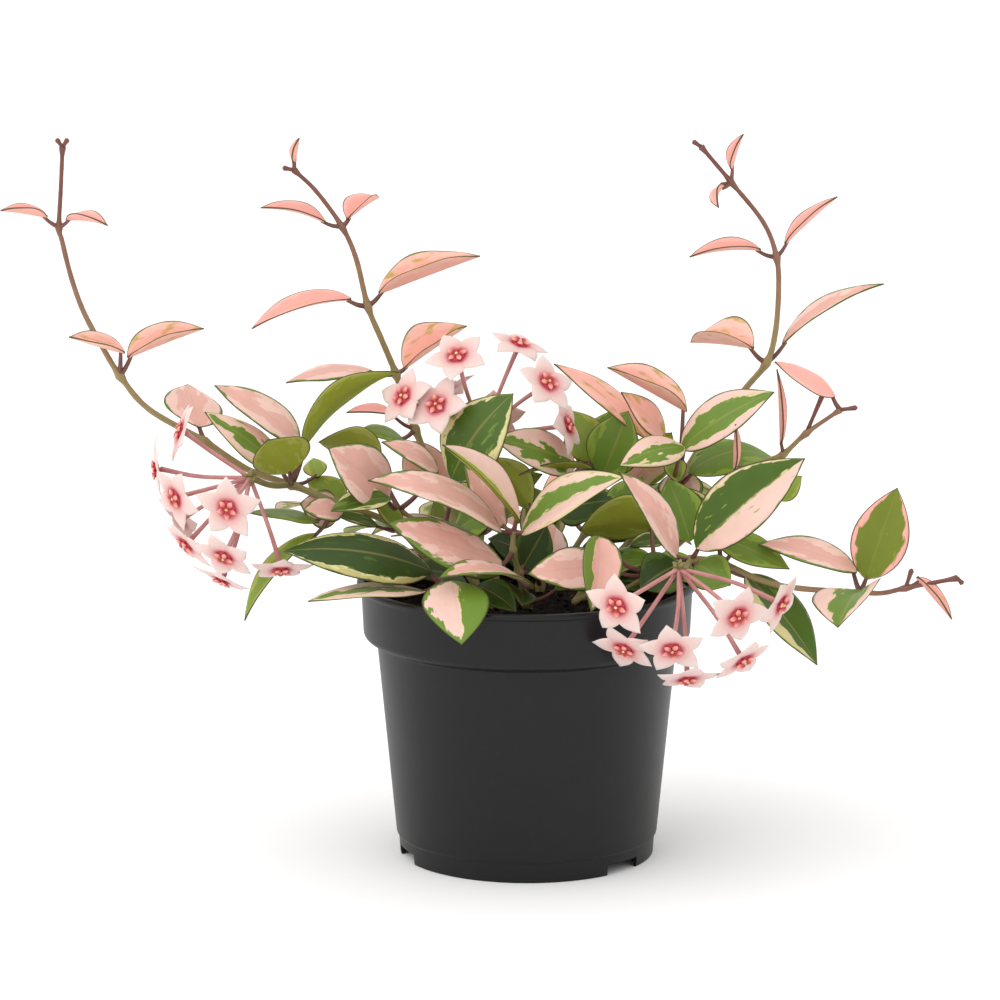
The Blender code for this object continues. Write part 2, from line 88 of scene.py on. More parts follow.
# Leaves of each shoot: the joint they grow from, the foot and the tip of the blade, its
# width laid flat, the way its upper side faces, the rise of its halves in degrees, the rise
# of its midrib as a share of its length, and its colouring.
LEAVES = {
    "far_left": [
        (12, (-172, 8, 232), (-188, 2, 235), 9, (0, -2, 10), 55, 0.04, "young"),
        (7, (-144, 8, 181), (-117, 18, 190), 18, (0, -3, 10), 50, 0.02, "blush"),
        (5, (-119, 16, 154), (-125, 44, 165), 22, (4, -10, 6), 5, 0.03, "pink"),
        (3, (-82, 6, 150), (-113, 12, 170), 17, (0, -5, 10), 15, 0.04, "pink"),
        (3, (-88, 4, 140), (-116, 2, 162), 16, (0, -6, 10), 10, 0.05, "mixed"),
        (3, (-85, -4, 141), (-92, -27, 157), 22, (-3, 10, 6), 5, 0.05, "green"),
        (3, (-81, 2, 149), (-46, 6, 176), 17, (-7, 9, 9), 10, 0.17, "green"),
        (2, (-76, -1, 118), (-102, -6, 87), 13, (-8, -5, 5), 30, 0.08, "light"),
        (12, (-165, 9, 231), (-149, -8, 231), 9, (0, -2, 10), 50, 0.04, "young"),
        (7, (-145, 7, 183), (-164, -2, 190), 13, (0, -4, 10), 40, 0.0, "blush"),
        (2, (-75, -4, 123), (-100, -8, 127), 16, (0, -1, 10), 5, 0.05, "green"),
        (2, (-66, -12, 128), (-80, -18, 130), 11, (0, -8, 8), 5, 0.05, "pink"),
        (2, (-66, 12, 126), (-80, 16, 135), 13, (0, -8, 8), 5, 0.06, "light"),
        (3, (-76, 14, 136), (-78, 24, 141), 9, (0, -10, 6), 10, 0.05, "light"),
        (2, (-68, 4, 124), (-82, 0, 129), 15, (-2, -10, 6), 10, 0.04, "pink"),
        (1, (-54, -2, 121), (-70, -5, 126), 7, (0, -6, 10), 15, 0.05, "cream_edge"),
        (1, (-50, 8, 118), (-66, 24, 112), 18, (-3, 3, 10), 12, 0.1, "green"),
        (2, (-74, 10, 125), (-92, 28, 120), 18, (-2, 4, 10), 12, 0.1, "mixed"),
    ],
    "tall_left": [
        (7, (-73, 24, 228), (-96, 18, 234), 9, (0, -5, 10), 40, 0.08, "young"),
        (5, (-64, 30, 199), (-100, 24, 189), 14, (0, -4, 10), 40, 0.06, "young"),
        (5, (-54, 31, 201), (-17, 36, 214), 22, (0, -2, 10), 55, 0.0, "blush"),
        (3, (-57, 34, 172), (-88, 30, 168), 16, (0, -2, 10), 0, 0.07, "pink"),
        (3, (-45, 38, 172), (-22, 50, 186), 24, (-2, -4, 10), 50, 0.0, "blush"),
        (7, (-65, 25, 229), (-54, 40, 235), 15, (-3, -4, 10), 50, 0.04, "young"),
        (9, (-84, 22, 250), (-82, 20, 259), 6, (-10, -3, 2), 50, 0.02, "young"),
        (2, (-48, 36, 155), (-66, 30, 157), 8, (0, -4, 10), 25, 0.08, "young"),
        (2, (-45, 34, 146), (-61, 26, 151), 13, (0, -4, 10), 5, 0.08, "green"),
    ],
    "tall_right": [
        (7, (85, 31, 217), (59, 26, 215), 10, (0, -4, 10), 45, 0.06, "young"),
        (4, (83, 36, 180), (61, 56, 179), 24, (0, -3, 10), 50, 0.02, "blush"),
        (4, (94, 39, 181), (131, 41, 203), 13, (-3, -3, 10), 30, 0.07, "pink"),
        (9, (74, 27, 247), (78, 24, 260), 8, (-10, -4, 2), 50, 0.05, "young"),
        (9, (71, 26, 241), (69, 18, 234), 7, (-10, -6, 3), 40, 0.15, "young"),
        (7, (94, 32, 219), (113, 34, 236), 9, (-3, -3, 10), 50, 0.04, "young"),
    ],
    "short_right": [
        (6, (111, 6, 167), (89, 4, 180), 12, (0, -5, 10), 10, 0.03, "young"),
        (4, (92, 9, 149), (90, 6, 177), 6, (10, -4, 0), 45, 0.02, "young"),
        (3, (75, 2, 141), (75, 0, 158), 6, (10, -4, 0), 45, 0.0, "young"),
        (3, (89, 0, 131), (99, 0, 139), 9, (0, -10, 4), 5, 0.03, "light"),
    ],
    "low_right": [
        (6, (120, -33, 108), (131, -28, 140), 21, (0, -10, 2), 15, 0.03, "coral_edge"),
        (6, (118, -34, 104), (108, -62, 97), 30, (-4, -3, 9), 30, 0.05, "pink_edge"),
        (6, (117, -30, 110), (82, -26, 119), 15, (0, -6, 10), 15, 0.09, "pink"),
        (3, (78, -20, 107), (103, -34, 77), 21, (9, -10, 4), 20, 0.06, "cream_left"),
        (2, (53, -30, 115), (32, -40, 148), 19, (9, -7, 7), 20, 0.05, "pink"),
        (2, (60, -28, 118), (98, -30, 151), 27, (-3, -9, 5), 28, 0.02, "green_left"),
        (1, (46, -6, 123), (19, -14, 122), 24, (0, 9, 6), 10, 0.12, "green"),
        (1, (25, -46, 126), (22, -64, 103), 21, (3, -10, 4), 45, 0.03, "half_left"),
        (8, (138, -34, 109), (150, -40, 95), 8, (5, -3, 10), 50, 0.02, "young"),
        (3, (67, -20, 121), (93, -30, 111), 14, (2, -9, 8), 15, 0.03, "green"),
        (1, (30, -34, 112), (0, -48, 113), 17, (0, -10, 6), 5, 0.04, "pink"),
        (2, (66, -14, 107), (40, -24, 109), 22, (0, -4, 10), 5, 0.08, "green"),
        (2, (54, -26, 112), (40, -30, 104), 18, (-2, -10, 6), 10, 0.05, "dark"),
        (2, (60, -26, 112), (72, -34, 106), 16, (0, -9, 6), 10, 0.05, "green"),
        (0, (30, -8, 103), (50, 2, 107), 18, (0, -6, 10), 12, 0.08, "dark"),
        (3, (72, -16, 114), (96, -2, 112), 18, (1, 3, 10), 12, 0.1, "mixed"),
        (0, (34, -14, 100), (58, -12, 100), 18, (1, -2, 10), 12, 0.1, "dark"),
    ],
    "front": [
        (3, (-9, -24, 123), (-56, -46, 146), 22, (1, -5, 10), 15, 0.11, "pink"),
        (2, (-8, -26, 111), (-49, -52, 132), 23, (2, -9, 10), 5, 0.03, "pink_heart"),
        (1, (2, -34, 105), (-31, -60, 114), 19, (0, -2, 10), 15, 0.11, "pink_heart"),
        (3, (-3, -20, 126), (-30, -36, 157), 20, (7, -4, 7), 38, 0.03, "olive_half"),
        (3, (-2, -22, 122), (34, -34, 145), 26, (-2, -5, 10), 20, 0.06, "green_band"),
        (3, (-8, -16, 123), (-23, -14, 146), 11, (3, -10, 5), 15, 0.04, "pink"),
        (1, (-2, -15, 108), (7, -9, 123), 15, (2, -10, 1), 10, 0.03, "dark"),
        (1, (4, -8, 107), (8, 4, 122), 18, (-2, -10, 3), 10, 0.03, "pink"),
        (0, (10, -20, 102), (32, -36, 106), 16, (0, -4, 10), 12, 0.1, "dark"),
        (0, (-6, -24, 103), (-2, -46, 101), 14, (5, -8, 6), 12, 0.1, "dark"),
    ],
    "right": [
        (3, (58, 16, 160), (29, 10, 177), 21, (0, -3, 10), 45, 0.01, "blush"),
        (3, (56, 12, 147), (89, 4, 169), 20, (-3, -10, 10), 15, 0.06, "pink_edge"),
        (2, (59, 16, 137), (90, 25, 141), 21, (0, -5, 10), 5, 0.16, "green"),
        (3, (45, 24, 148), (10, 30, 175), 12, (2, -8, 12), 10, 0.06, "blush"),
        (3, (50, 18, 150), (34, 10, 168), 12, (3, -8, 6), 15, 0.06, "blush"),
        (2, (57, 8, 148), (33, -8, 144), 14, (0, -10, 8), 5, 0.09, "mixed"),
        (1, (59, 0, 115), (51, 6, 137), 18, (0, -10, 3), 10, 0.02, "green"),
        (3, (53, 17, 143), (55, 12, 134), 9, (0, -10, 2), 20, 0.02, "light"),
        (3, (56, 20, 137), (57, 14, 123), 17, (0, -10, 2), 10, 0.03, "pink"),
        (2, (62, 13, 117), (56, 11, 133), 17, (2, -10, 3), 10, 0.03, "cream_edge"),
        (1, (50, 6, 114), (37, 0, 113), 9, (0, -6, 10), 15, 0.04, "cream_edge"),
        (1, (32, 10, 120), (42, 14, 136), 16, (-1, -10, 3), 10, 0.03, "green"),
        (0, (26, 0, 103), (46, -10, 110), 18, (0, -5, 10), 12, 0.08, "green"),
        (0, (30, 10, 101), (56, 16, 98), 19, (2, 1, 10), 12, 0.1, "mixed"),
        (1, (46, 20, 116), (64, 32, 112), 18, (2, 3, 9), 12, 0.1, "pink_edge"),
    ],
    "left": [
        (2, (-50, -6, 131), (-71, -16, 152), 24, (3, -10, 8), 15, 0.06, "pink"),
        (1, (-27, -6, 139), (-5, -11, 171), 26, (-5, -10, 3), 5, 0.1, "cream_edge"),
        (2, (-53, 10, 144), (-75, 2, 151), 20, (0, 8, 8), 5, 0.16, "green"),
        (2, (-32, -8, 142), (-52, -14, 154), 13, (2, -6, 10), 15, 0.07, "pink"),
        (2, (-49, -12, 133), (-70, -20, 130), 14, (0, -6, 10), 20, 0.05, "cream_edge"),
        (2, (-45, -4, 122), (-55, -8, 131), 8, (0, -9, 5), 25, 0.03, "light"),
        (0, (-22, -14, 103), (-44, -24, 108), 17, (0, -5, 10), 12, 0.1, "dark"),
        (1, (-26, 2, 118), (-8, -6, 128), 17, (0, -8, 8), 12, 0.08, "green"),
        (1, (-34, 6, 118), (-52, 18, 116), 17, (-1, 3, 10), 12, 0.1, "pink_edge"),
        (0, (-28, 0, 101), (-56, 8, 99), 20, (-2, 1, 10), 12, 0.1, "green"),
        (0, (-26, 10, 103), (-48, 26, 104), 19, (-3, 4, 9), 12, 0.1, "cream_edge"),
    ],
    "middle": [
        (2, (18, 20, 139), (-12, -3, 153), 17, (1, -10, 6), 5, 0.05, "mixed"),
        (2, (28, 24, 135), (37, 22, 159), 22, (-4, -10, 2), 15, 0.04, "green"),
        (2, (24, 12, 140), (-3, 2, 139), 8, (0, 6, 10), 10, 0.07, "green"),
        (2, (24, 34, 132), (32, 42, 156), 21, (0, -10, 4), 10, 0.03, "green"),
        (2, (26, 30, 139), (17, 34, 157), 17, (0, -10, 3), 10, 0.04, "light"),
        (0, (4, 8, 104), (-14, 0, 116), 17, (0, -8, 8), 12, 0.08, "dark"),
        (1, (12, 20, 122), (32, 10, 128), 19, (0, -8, 8), 12, 0.08, "dark"),
        (1, (2, 30, 122), (-14, 40, 138), 20, (3, 8, 6), 12, 0.08, "green"),
        (2, (20, 32, 138), (40, 44, 140), 20, (0, 6, 10), 12, 0.1, "pink"),
    ],
    "low_front": [
        (1, (-34, -30, 110), (-86, -38, 119), 26, (0, -6, 10), 0, 0.1, "shaded_cream"),
        (1, (-27, -46, 110), (-23, -72, 93), 24, (1, -10, 5), 8, 0.1, "half_right"),
        (1, (-36, -36, 104), (-77, -52, 104), 18, (0, -1, 10), 5, 0.05, "mixed"),
        (1, (-18, -35, 106), (-4, -46, 99), 13, (4, -9, 4), 20, 0.04, "dark"),
    ],
    "back_left": [
        (2, (-32, 62, 119), (-66, 84, 118), 24, (0, 3, 10), 15, 0.12, "pink_heart"),
        (2, (-26, 66, 118), (-30, 96, 92), 24, (0, 7, 8), 10, 0.1, "cream_edge"),
        (1, (-10, 54, 112), (-4, 84, 104), 20, (0, 6, 9), 12, 0.1, "pink"),
        (1, (-26, 44, 112), (-58, 56, 106), 22, (0, 3, 10), 12, 0.12, "pink_edge"),
        (0, (-20, 24, 104), (-50, 34, 110), 20, (-2, 2, 10), 12, 0.1, "green"),
        (1, (-20, 54, 113), (-16, 76, 126), 22, (0, 8, -3), 12, 0.06, "half_left"),
        (1, (-14, 40, 114), (6, 52, 130), 20, (-3, 8, 5), 12, 0.08, "dark"),
        (2, (-30, 54, 122), (-44, 44, 144), 18, (-3, 8, 4), 20, 0.04, "blush"),
        (0, (-24, 34, 102), (-46, 54, 98), 20, (-3, 3, 9), 12, 0.1, "pink_edge"),
        (0, (-18, 38, 104), (-34, 52, 122), 19, (-6, 8, 4), 15, 0.06, "dark"),
    ],
    "back_right": [
        (2, (42, 66, 121), (76, 80, 112), 24, (2, 4, 10), 15, 0.12, "cream_edge"),
        (2, (34, 68, 120), (20, 100, 104), 24, (0, 5, 10), 10, 0.1, "green_band"),
        (1, (32, 48, 112), (62, 58, 102), 20, (2, 4, 10), 12, 0.1, "pink"),
        (1, (16, 58, 114), (12, 82, 128), 18, (0, 8, -3), 20, 0.05, "blush"),
        (0, (8, 42, 104), (-4, 66, 100), 18, (0, 4, 10), 12, 0.1, "mixed"),
        (2, (38, 56, 124), (54, 50, 146), 19, (2, 8, 4), 20, 0.04, "pink_heart"),
        (2, (44, 58, 118), (72, 52, 122), 20, (1, 4, 10), 12, 0.1, "green"),
        (0, (20, 34, 104), (46, 30, 108), 20, (0, 4, 10), 12, 0.1, "dark"),
        (0, (2, 40, 103), (-14, 60, 98), 19, (-1, 5, 9), 12, 0.1, "pink"),
        (0, (8, 36, 106), (2, 48, 126), 19, (0, 9, 4), 15, 0.06, "cream_edge"),
        (1, (26, 58, 112), (38, 84, 100), 20, (1, 5, 9), 12, 0.1, "light"),
    ],
}

# Umbels: the shoot and joint the flower stalk grows from, the head, the way the flowers
# lean, and where each flower sits from the head.
UMBELS = {
    "left": ("far_left", 3, (-99, -14, 141), (-0.5, -0.7, -0.3),
             [(-24, 4, 16), (-33, 6, 2), (-25, -16, -4), (-6, -30, -5), (-22, -8, -22),
              (-8, -20, -24), (-10, -2, -36), (11, -8, -31), (-26, 20, -19)]),
    "top": ("tall_left", 1, (-16, 12, 152), (0.0, -0.8, 0.5),
            [(-9, -16, 31), (-28, -14, 16), (-16, -20, 14), (13, 4, 32), (23, -14, 21),
             (30, 2, 3), (-13, 20, 12), (4, 24, 2)]),
    "right": ("low_right", 2, (53, -48, 115), (0.1, -0.9, -0.3),
              [(-22, -28, -7), (19, -26, -11), (-3, -24, -23), (-19, -14, -25),
               (22, -10, -30), (3, -8, -37), (35, -6, -11)]),
}


def point(place_mm):
    return Vector(place_mm) * MM


def smoothstep(low, high, value):
    share = min(max((value - low) / (high - low), 0.0), 1.0)
    return share * share * (3.0 - 2.0 * share)


# ---- materials -----------------------------------------------------------------------
def paint(hex_colour):
    """An sRGB hex colour as linear RGBA."""
    channels = [int(hex_colour[start:start + 2], 16) / 255.0 for start in (1, 3, 5)]
    linear = [c / 12.92 if c <= 0.04045 else ((c + 0.055) / 1.055) ** 2.4 for c in channels]
    return (*linear, 1.0)


def plug(tree, made, links):
    """Link or set a node's sockets, each given by its name or its number."""
    for socket, value in links.items():
        if isinstance(socket, str):
            target = next(s for s in made.inputs if s.name == socket and s.enabled)
        else:
            target = made.inputs[socket]
        if isinstance(value, bpy.types.NodeSocket):
            tree.links.new(value, target)
        else:
            target.default_value = value


def add(tree, kind, links=None, stops=(), out=None, **settings):
    """Add one node with its settings, ramp stops and links, and return its output socket."""
    made = tree.nodes.new(kind)
    for setting, value in settings.items():
        setattr(made, setting, value)
    if stops:
        ramp = made.color_ramp
        while len(ramp.elements) < len(stops):
            ramp.elements.new(1.0)
        for element, (place, colour) in zip(ramp.elements, stops):
            element.position = place
            element.color = colour
    plug(tree, made, links or {})
    if out:
        return made.outputs[out]
    return next(socket for socket in made.outputs if socket.enabled)


def new_finish(name):
    """A material whose tree holds only its shader and output."""
    material = bpy.data.materials.new(name)
    material.use_nodes = True
    tree = material.node_tree
    return material, tree, tree.nodes["Principled BSDF"]


def grain_noise(tree, grain, long, wide, layer, **detail):
    """Noise drawn out along the grain, its marks long and wide in metres."""
    marks = add(tree, "ShaderNodeVectorMath", {0: grain, 1: (1 / long, 1 / wide, layer)},
                operation="MULTIPLY")
    return add(tree, "ShaderNodeTexNoise", {"Vector": marks, "Scale": 1.0, **detail})


def moulded_pot_plastic():
    """Injection-moulded recycled polypropylene, carbon black: charcoal and satin, with a
    faint orange-peel from the mould and drifting dull patches from handling."""
    material, tree, shader = new_finish("moulded_pot_plastic")
    place = add(tree, "ShaderNodeTexCoord", out="Object")
    patches = add(tree, "ShaderNodeTexNoise", {"Vector": place, "Scale": 1 / 0.035, "Detail": 3.0})
    peel = add(tree, "ShaderNodeTexNoise", {"Vector": place, "Scale": 1 / 0.0012, "Detail": 2.0})
    dust = add(tree, "ShaderNodeTexNoise", {"Vector": place, "Scale": 1 / 0.004, "Detail": 6.0,
                                            "Roughness": 0.7})
    tone = add(tree, "ShaderNodeValToRGB", {"Fac": patches},
               stops=[(0.3, paint("#08080a")), (0.75, paint("#0e0e0f"))])
    dusty = add(tree, "ShaderNodeMapRange", {"Value": dust, "From Min": 0.55, "From Max": 0.8,
                                             "To Max": 0.06})
    colour = add(tree, "ShaderNodeMix", {"Factor": dusty, "A": tone, "B": paint("#4a4641")},
                 data_type="RGBA")
    rough = add(tree, "ShaderNodeMapRange", {"Value": patches, "To Min": 0.36, "To Max": 0.5})
    bump = add(tree, "ShaderNodeBump", {"Height": peel, "Strength": 0.12, "Distance": 0.00015})
    plug(tree, shader, {"Base Color": colour, "Roughness": rough, "Normal": bump, "IOR": 1.38})
    return material


def potting_mix():
    """Damp peat and fine bark: nearly black crumbs with some redder fibres and dry bits. The near
    black is partly the mix's own dark brown and partly painted shade from the leaves over the soil.
    """
    material, tree, shader = new_finish("potting_mix")
    place = add(tree, "ShaderNodeTexCoord", out="Object")
    crumbs = add(tree, "ShaderNodeTexVoronoi", {"Vector": place, "Scale": 1 / 0.0022}, out="Color")
    crumb = add(tree, "ShaderNodeSeparateColor", {"Color": crumbs}, out="Red")
    damp = add(tree, "ShaderNodeTexNoise", {"Vector": place, "Scale": 1 / 0.012, "Detail": 4.0})
    # painted shade: these tones are darker than the mix alone, standing for the shade the leaves
    # cast on the soil
    colour = add(tree, "ShaderNodeValToRGB", {"Fac": crumb},
                 stops=[(0.0, paint("#0b0806")), (0.6, paint("#150e0a")), (0.85, paint("#2a1c14")),
                        (1.0, paint("#4a382a"))])
    wet = add(tree, "ShaderNodeMapRange", {"Value": damp, "To Min": 0.55, "To Max": 1.0})
    shaded = add(tree, "ShaderNodeHueSaturation", {"Color": colour, "Value": wet})
    grit = add(tree, "ShaderNodeTexNoise", {"Vector": place, "Scale": 1 / 0.0009, "Detail": 4.0})
    bump = add(tree, "ShaderNodeBump", {"Height": grit, "Strength": 0.7, "Distance": 0.0006})
    plug(tree, shader, {"Base Color": shaded, "Roughness": 0.95, "Normal": bump, "IOR": 1.25})
    return material


def green_bark():
    """The skin of a hoya shoot: khaki and corky when old, smooth and red-brown when young."""
    material, tree, shader = new_finish("green_bark")
    grain = add(tree, "ShaderNodeAttribute", attribute_name="grain", out="Vector")
    youth = add(tree, "ShaderNodeAttribute", attribute_name="youth", out="Fac")
    fibres = grain_noise(tree, grain, 0.006, 0.0007, 1.0, Detail=4.0)
    drift = add(tree, "ShaderNodeTexNoise", {"Vector": grain, "Scale": 1 / 0.012, "Detail": 2.0})
    shift = add(tree, "ShaderNodeMapRange", {"Value": drift, "To Min": -0.18, "To Max": 0.18})
    age = add(tree, "ShaderNodeMath", {0: youth, 1: shift}, operation="ADD")
    base = add(tree, "ShaderNodeValToRGB", {"Fac": age},
               stops=[(0.1, paint("#8a8050")), (0.45, paint("#978459")), (0.7, paint("#8c6650")),
                      (0.95, paint("#74493f"))])
    tone = add(tree, "ShaderNodeMapRange", {"Value": fibres, "To Min": 0.72, "To Max": 1.22})
    colour = add(tree, "ShaderNodeHueSaturation", {"Color": base, "Value": tone})
    bump = add(tree, "ShaderNodeBump", {"Height": fibres, "Strength": 0.5, "Distance": 0.00025})
    plug(tree, shader, {"Base Color": colour, "Roughness": 0.55, "Normal": bump, "IOR": 1.42})
    return material


def fleshy_stalk(name, dark, light):
    """A fleshy stalk with a thin, softly glossy skin, finely streaked along its length."""
    material, tree, shader = new_finish(name)
    grain = add(tree, "ShaderNodeAttribute", attribute_name="grain", out="Vector")
    streaks = grain_noise(tree, grain, 0.008, 0.0008, 1.0, Detail=3.0)
    colour = add(tree, "ShaderNodeValToRGB", {"Fac": streaks},
                 stops=[(0.3, paint(dark)), (0.7, paint(light))])
    plug(tree, shader, {"Base Color": colour, "Roughness": 0.5, "IOR": 1.42})
    return material


PINK = "#e7c1b3"
ROSE = "#dda99b"
CORAL = "#f0a99c"
CREAM = "#d2c78f"
LIME = "#a9ae48"
FRESH_GREEN = "#829b36"
LEAF_GREEN = "#66832a"
DEEP_GREEN = "#456016"
# painted shade: a green darkened to stand for the shade deep inside the plant
SHADED_GREEN = "#2f4610"
OLIVE = "#949d30"
PALE_OLIVE = "#a5ab50"
EDGE_LINE = "#4f4728"
GREENS = (LIME, FRESH_GREEN, LEAF_GREEN, DEEP_GREEN, SHADED_GREEN, OLIVE, PALE_OLIVE)

# Colourings: the colour along the midrib and the colour of the flanks, how far the first
# reaches across each half (0 the midrib, 1 the edge), how ragged the border between them
# is, how far the pattern leans to one side, the colour of the flecks and how much of the
# leaf they take, and the colour and the width in millimetres of the margin.
COLOURINGS = {
    "young": (CORAL, "#efb2a4", 0.7, 0.5, 0.0, "#d9a877", 0.14, CORAL, 0.0),
    "blush": ("#efaf9f", "#f0bcab", 0.6, 0.5, 0.0, "#bfa052", 0.36, "#b59a5c", 0.5),
    "pink": (ROSE, PINK, 0.55, 0.9, 0.0, LIME, 0.02, LEAF_GREEN, 0.8),
    "pink_heart": (ROSE, PINK, 0.5, 0.9, 0.0, LEAF_GREEN, 0.05, LEAF_GREEN, 2.0),
    "pink_edge": (LEAF_GREEN, PINK, 0.58, 0.5, 0.0, FRESH_GREEN, 0.1, LEAF_GREEN, 0.5),
    "coral_edge": ("#6e7a1e", CORAL, 0.77, 0.4, 0.0, LIME, 0.08, CORAL, 0.0),
    "cream_edge": (DEEP_GREEN, CREAM, 0.76, 0.3, 0.0, LEAF_GREEN, 0.22, LEAF_GREEN, 0.5),
    # painted shade: this leaf's green and cream are darkened for the shade low in the plant
    "shaded_cream": (SHADED_GREEN, "#b3ac6b", 0.8, 0.3, 0.0, DEEP_GREEN, 0.2, DEEP_GREEN, 0.5),
    "cream_left": (DEEP_GREEN, CREAM, 0.8, 0.3, 0.25, LEAF_GREEN, 0.15, LEAF_GREEN, 0.5),
    "half_left": (ROSE, LEAF_GREEN, 0.98, 0.4, 0.6, LEAF_GREEN, 0.03, LEAF_GREEN, 0.9),
    "half_right": (PINK, LEAF_GREEN, 0.72, 0.4, -0.6, DEEP_GREEN, 0.04, LEAF_GREEN, 2.2),
    "olive_half": (PINK, OLIVE, 0.72, 0.15, -0.95, OLIVE, 0.0, OLIVE, 0.4),
    "green_band": (LEAF_GREEN, PINK, 0.27, 0.4, 0.32, FRESH_GREEN, 0.15, CREAM, 1.2),
    "green_left": (DEEP_GREEN, PINK, 0.47, 0.35, 0.42, FRESH_GREEN, 0.12, LEAF_GREEN, 0.6),
    "mixed": (LEAF_GREEN, PINK, 0.45, 0.9, 0.15, FRESH_GREEN, 0.12, CREAM, 0.8),
    "green": (LEAF_GREEN, FRESH_GREEN, 0.7, 0.8, 0.0, DEEP_GREEN, 0.1, FRESH_GREEN, 0.6),
    # painted shade: the darkest greens, standing for the shade deep inside the plant
    "dark": (SHADED_GREEN, DEEP_GREEN, 0.75, 0.6, 0.0, DEEP_GREEN, 0.12, DEEP_GREEN, 0.6),
    "light": (FRESH_GREEN, PALE_OLIVE, 0.7, 0.6, 0.0, LIME, 0.1, PALE_OLIVE, 0.6),
}
PATCHY = ("young", "blush")
# What each green turns to on the underside, where the leaf is paler and has no gloss; the shaded
# green's underside keeps its painted shade.
UNDERSIDE = {LEAF_GREEN: OLIVE, DEEP_GREEN: "#78862f", FRESH_GREEN: PALE_OLIVE,
             SHADED_GREEN: "#6c7c2a", "#6e7a1e": PALE_OLIVE}


def waxy_leaf(colouring, underside):
    """Thick hoya leaf.  Its cuticle is waxed and gives a broad soft gloss; the underside is
    duller.  The colours lie in ragged strokes along the leaf, with a cream seam where pink
    meets green, and a thin dark line runs round the edge."""
    heart, flank, reach, ragged, lean, fleck, flecks, margin, margin_mm = COLOURINGS[colouring]
    if underside:
        heart, flank, fleck, margin = (UNDERSIDE.get(colour, colour)
                                       for colour in (heart, flank, fleck, margin))
        flecks *= 0.4
    side_name = "under" if underside else "upper"
    material, tree, shader = new_finish(f"waxy_leaf_{colouring}_{side_name}")
    blade = add(tree, "ShaderNodeAttribute", attribute_name="blade", out="Vector")
    grain = add(tree, "ShaderNodeAttribute", attribute_name="grain", out="Vector")
    side = add(tree, "ShaderNodeSeparateXYZ", {"Vector": blade}, out="Y")
    inward = add(tree, "ShaderNodeSeparateXYZ", {"Vector": blade}, out="Z")
    half = add(tree, "ShaderNodeMath", {0: side}, operation="ABSOLUTE")
    leaned = add(tree, "ShaderNodeMath", {0: side, 1: lean}, operation="ADD")
    spread = add(tree, "ShaderNodeMath", {0: leaned}, operation="ABSOLUTE")

    # strokes are about 7 mm long and 3 mm wide
    strokes = grain_noise(tree, grain, 0.007, 0.003, 1.0, Detail=2.5, Roughness=0.5)
    shift = add(tree, "ShaderNodeMapRange", {"Value": strokes, "From Min": 0.25, "From Max": 0.75,
                                             "To Min": -ragged * 0.5, "To Max": ragged * 0.5})
    border = add(tree, "ShaderNodeMath", {0: spread, 1: shift}, operation="ADD")
    stops = [(reach - 0.05, paint(heart)), (reach + 0.05, paint(flank))]
    if (heart in GREENS) != (flank in GREENS):
        stops[1:1] = [(reach - 0.01, paint(CREAM)), (reach + 0.01, paint(CREAM))]
    zones = add(tree, "ShaderNodeValToRGB", {"Fac": border}, stops=stops)

    # flecks are short streaks, but on young leaves broad soft patches
    long, wide, soft = (0.010, 0.003, 0.12) if colouring in PATCHY else (0.007, 0.002, 0.06)
    fleck_noise = grain_noise(tree, grain, long, wide, 2.0, Detail=2.5, Roughness=0.55)
    threshold = 0.72 - 0.5 * flecks
    flecking = add(tree, "ShaderNodeMapRange", {"Value": fleck_noise, "From Min": threshold,
                                                "From Max": threshold + soft})
    flecked = add(tree, "ShaderNodeMix", {"Factor": flecking, "A": zones, "B": paint(fleck)},
                  data_type="RGBA")

    # the margin comes and goes along the edge
    come = add(tree, "ShaderNodeMapRange", {"Value": strokes, "From Min": 0.25, "From Max": 0.75,
                                            "To Min": -0.9 * margin_mm, "To Max": 0.9 * margin_mm})
    bound = add(tree, "ShaderNodeMath", {0: inward, 1: come}, operation="ADD")
    margin_share = add(tree, "ShaderNodeMapRange", {
        "Value": bound, "From Min": margin_mm - 0.15, "From Max": margin_mm + 0.3,
        "To Min": 1.0, "To Max": 0.0})
    bordered = add(tree, "ShaderNodeMix", {"Factor": margin_share, "A": flecked,
                                           "B": paint(margin)}, data_type="RGBA")
    clouds = add(tree, "ShaderNodeTexNoise", {"Vector": grain, "Scale": 1 / 0.007, "Detail": 3.0})
    tone = add(tree, "ShaderNodeMapRange", {"Value": clouds, "To Min": 0.88, "To Max": 1.12})
    toned = add(tree, "ShaderNodeHueSaturation", {"Color": bordered, "Value": tone})
    crease = 0.35 if heart in GREENS else 0.14
    midrib = add(tree, "ShaderNodeMapRange", {"Value": half, "From Min": 0.02, "From Max": 0.06,
                                              "To Min": crease, "To Max": 0.0})
    ribbed = add(tree, "ShaderNodeMix", {"Factor": midrib, "A": toned, "B": paint("#a5985a")},
                 data_type="RGBA")
    rim = add(tree, "ShaderNodeMapRange", {"Value": inward, "From Min": 0.22, "From Max": 0.55,
                                           "To Min": 1.0, "To Max": 0.0})
    colour = add(tree, "ShaderNodeMix", {"Factor": rim, "A": ribbed, "B": paint(EDGE_LINE)},
                 data_type="RGBA")
    ripples = add(tree, "ShaderNodeTexNoise", {"Vector": grain, "Scale": 1 / 0.004, "Detail": 2.0})
    bump = add(tree, "ShaderNodeBump", {"Height": ripples, "Strength": 0.25, "Distance": 0.0004})
    low, high = (0.52, 0.64) if underside else (0.38, 0.5)
    rough = add(tree, "ShaderNodeMapRange", {"Value": clouds, "To Min": low, "To Max": high})
    plug(tree, shader, {"Base Color": colour, "Roughness": rough, "Normal": bump, "IOR": 1.38})
    return material


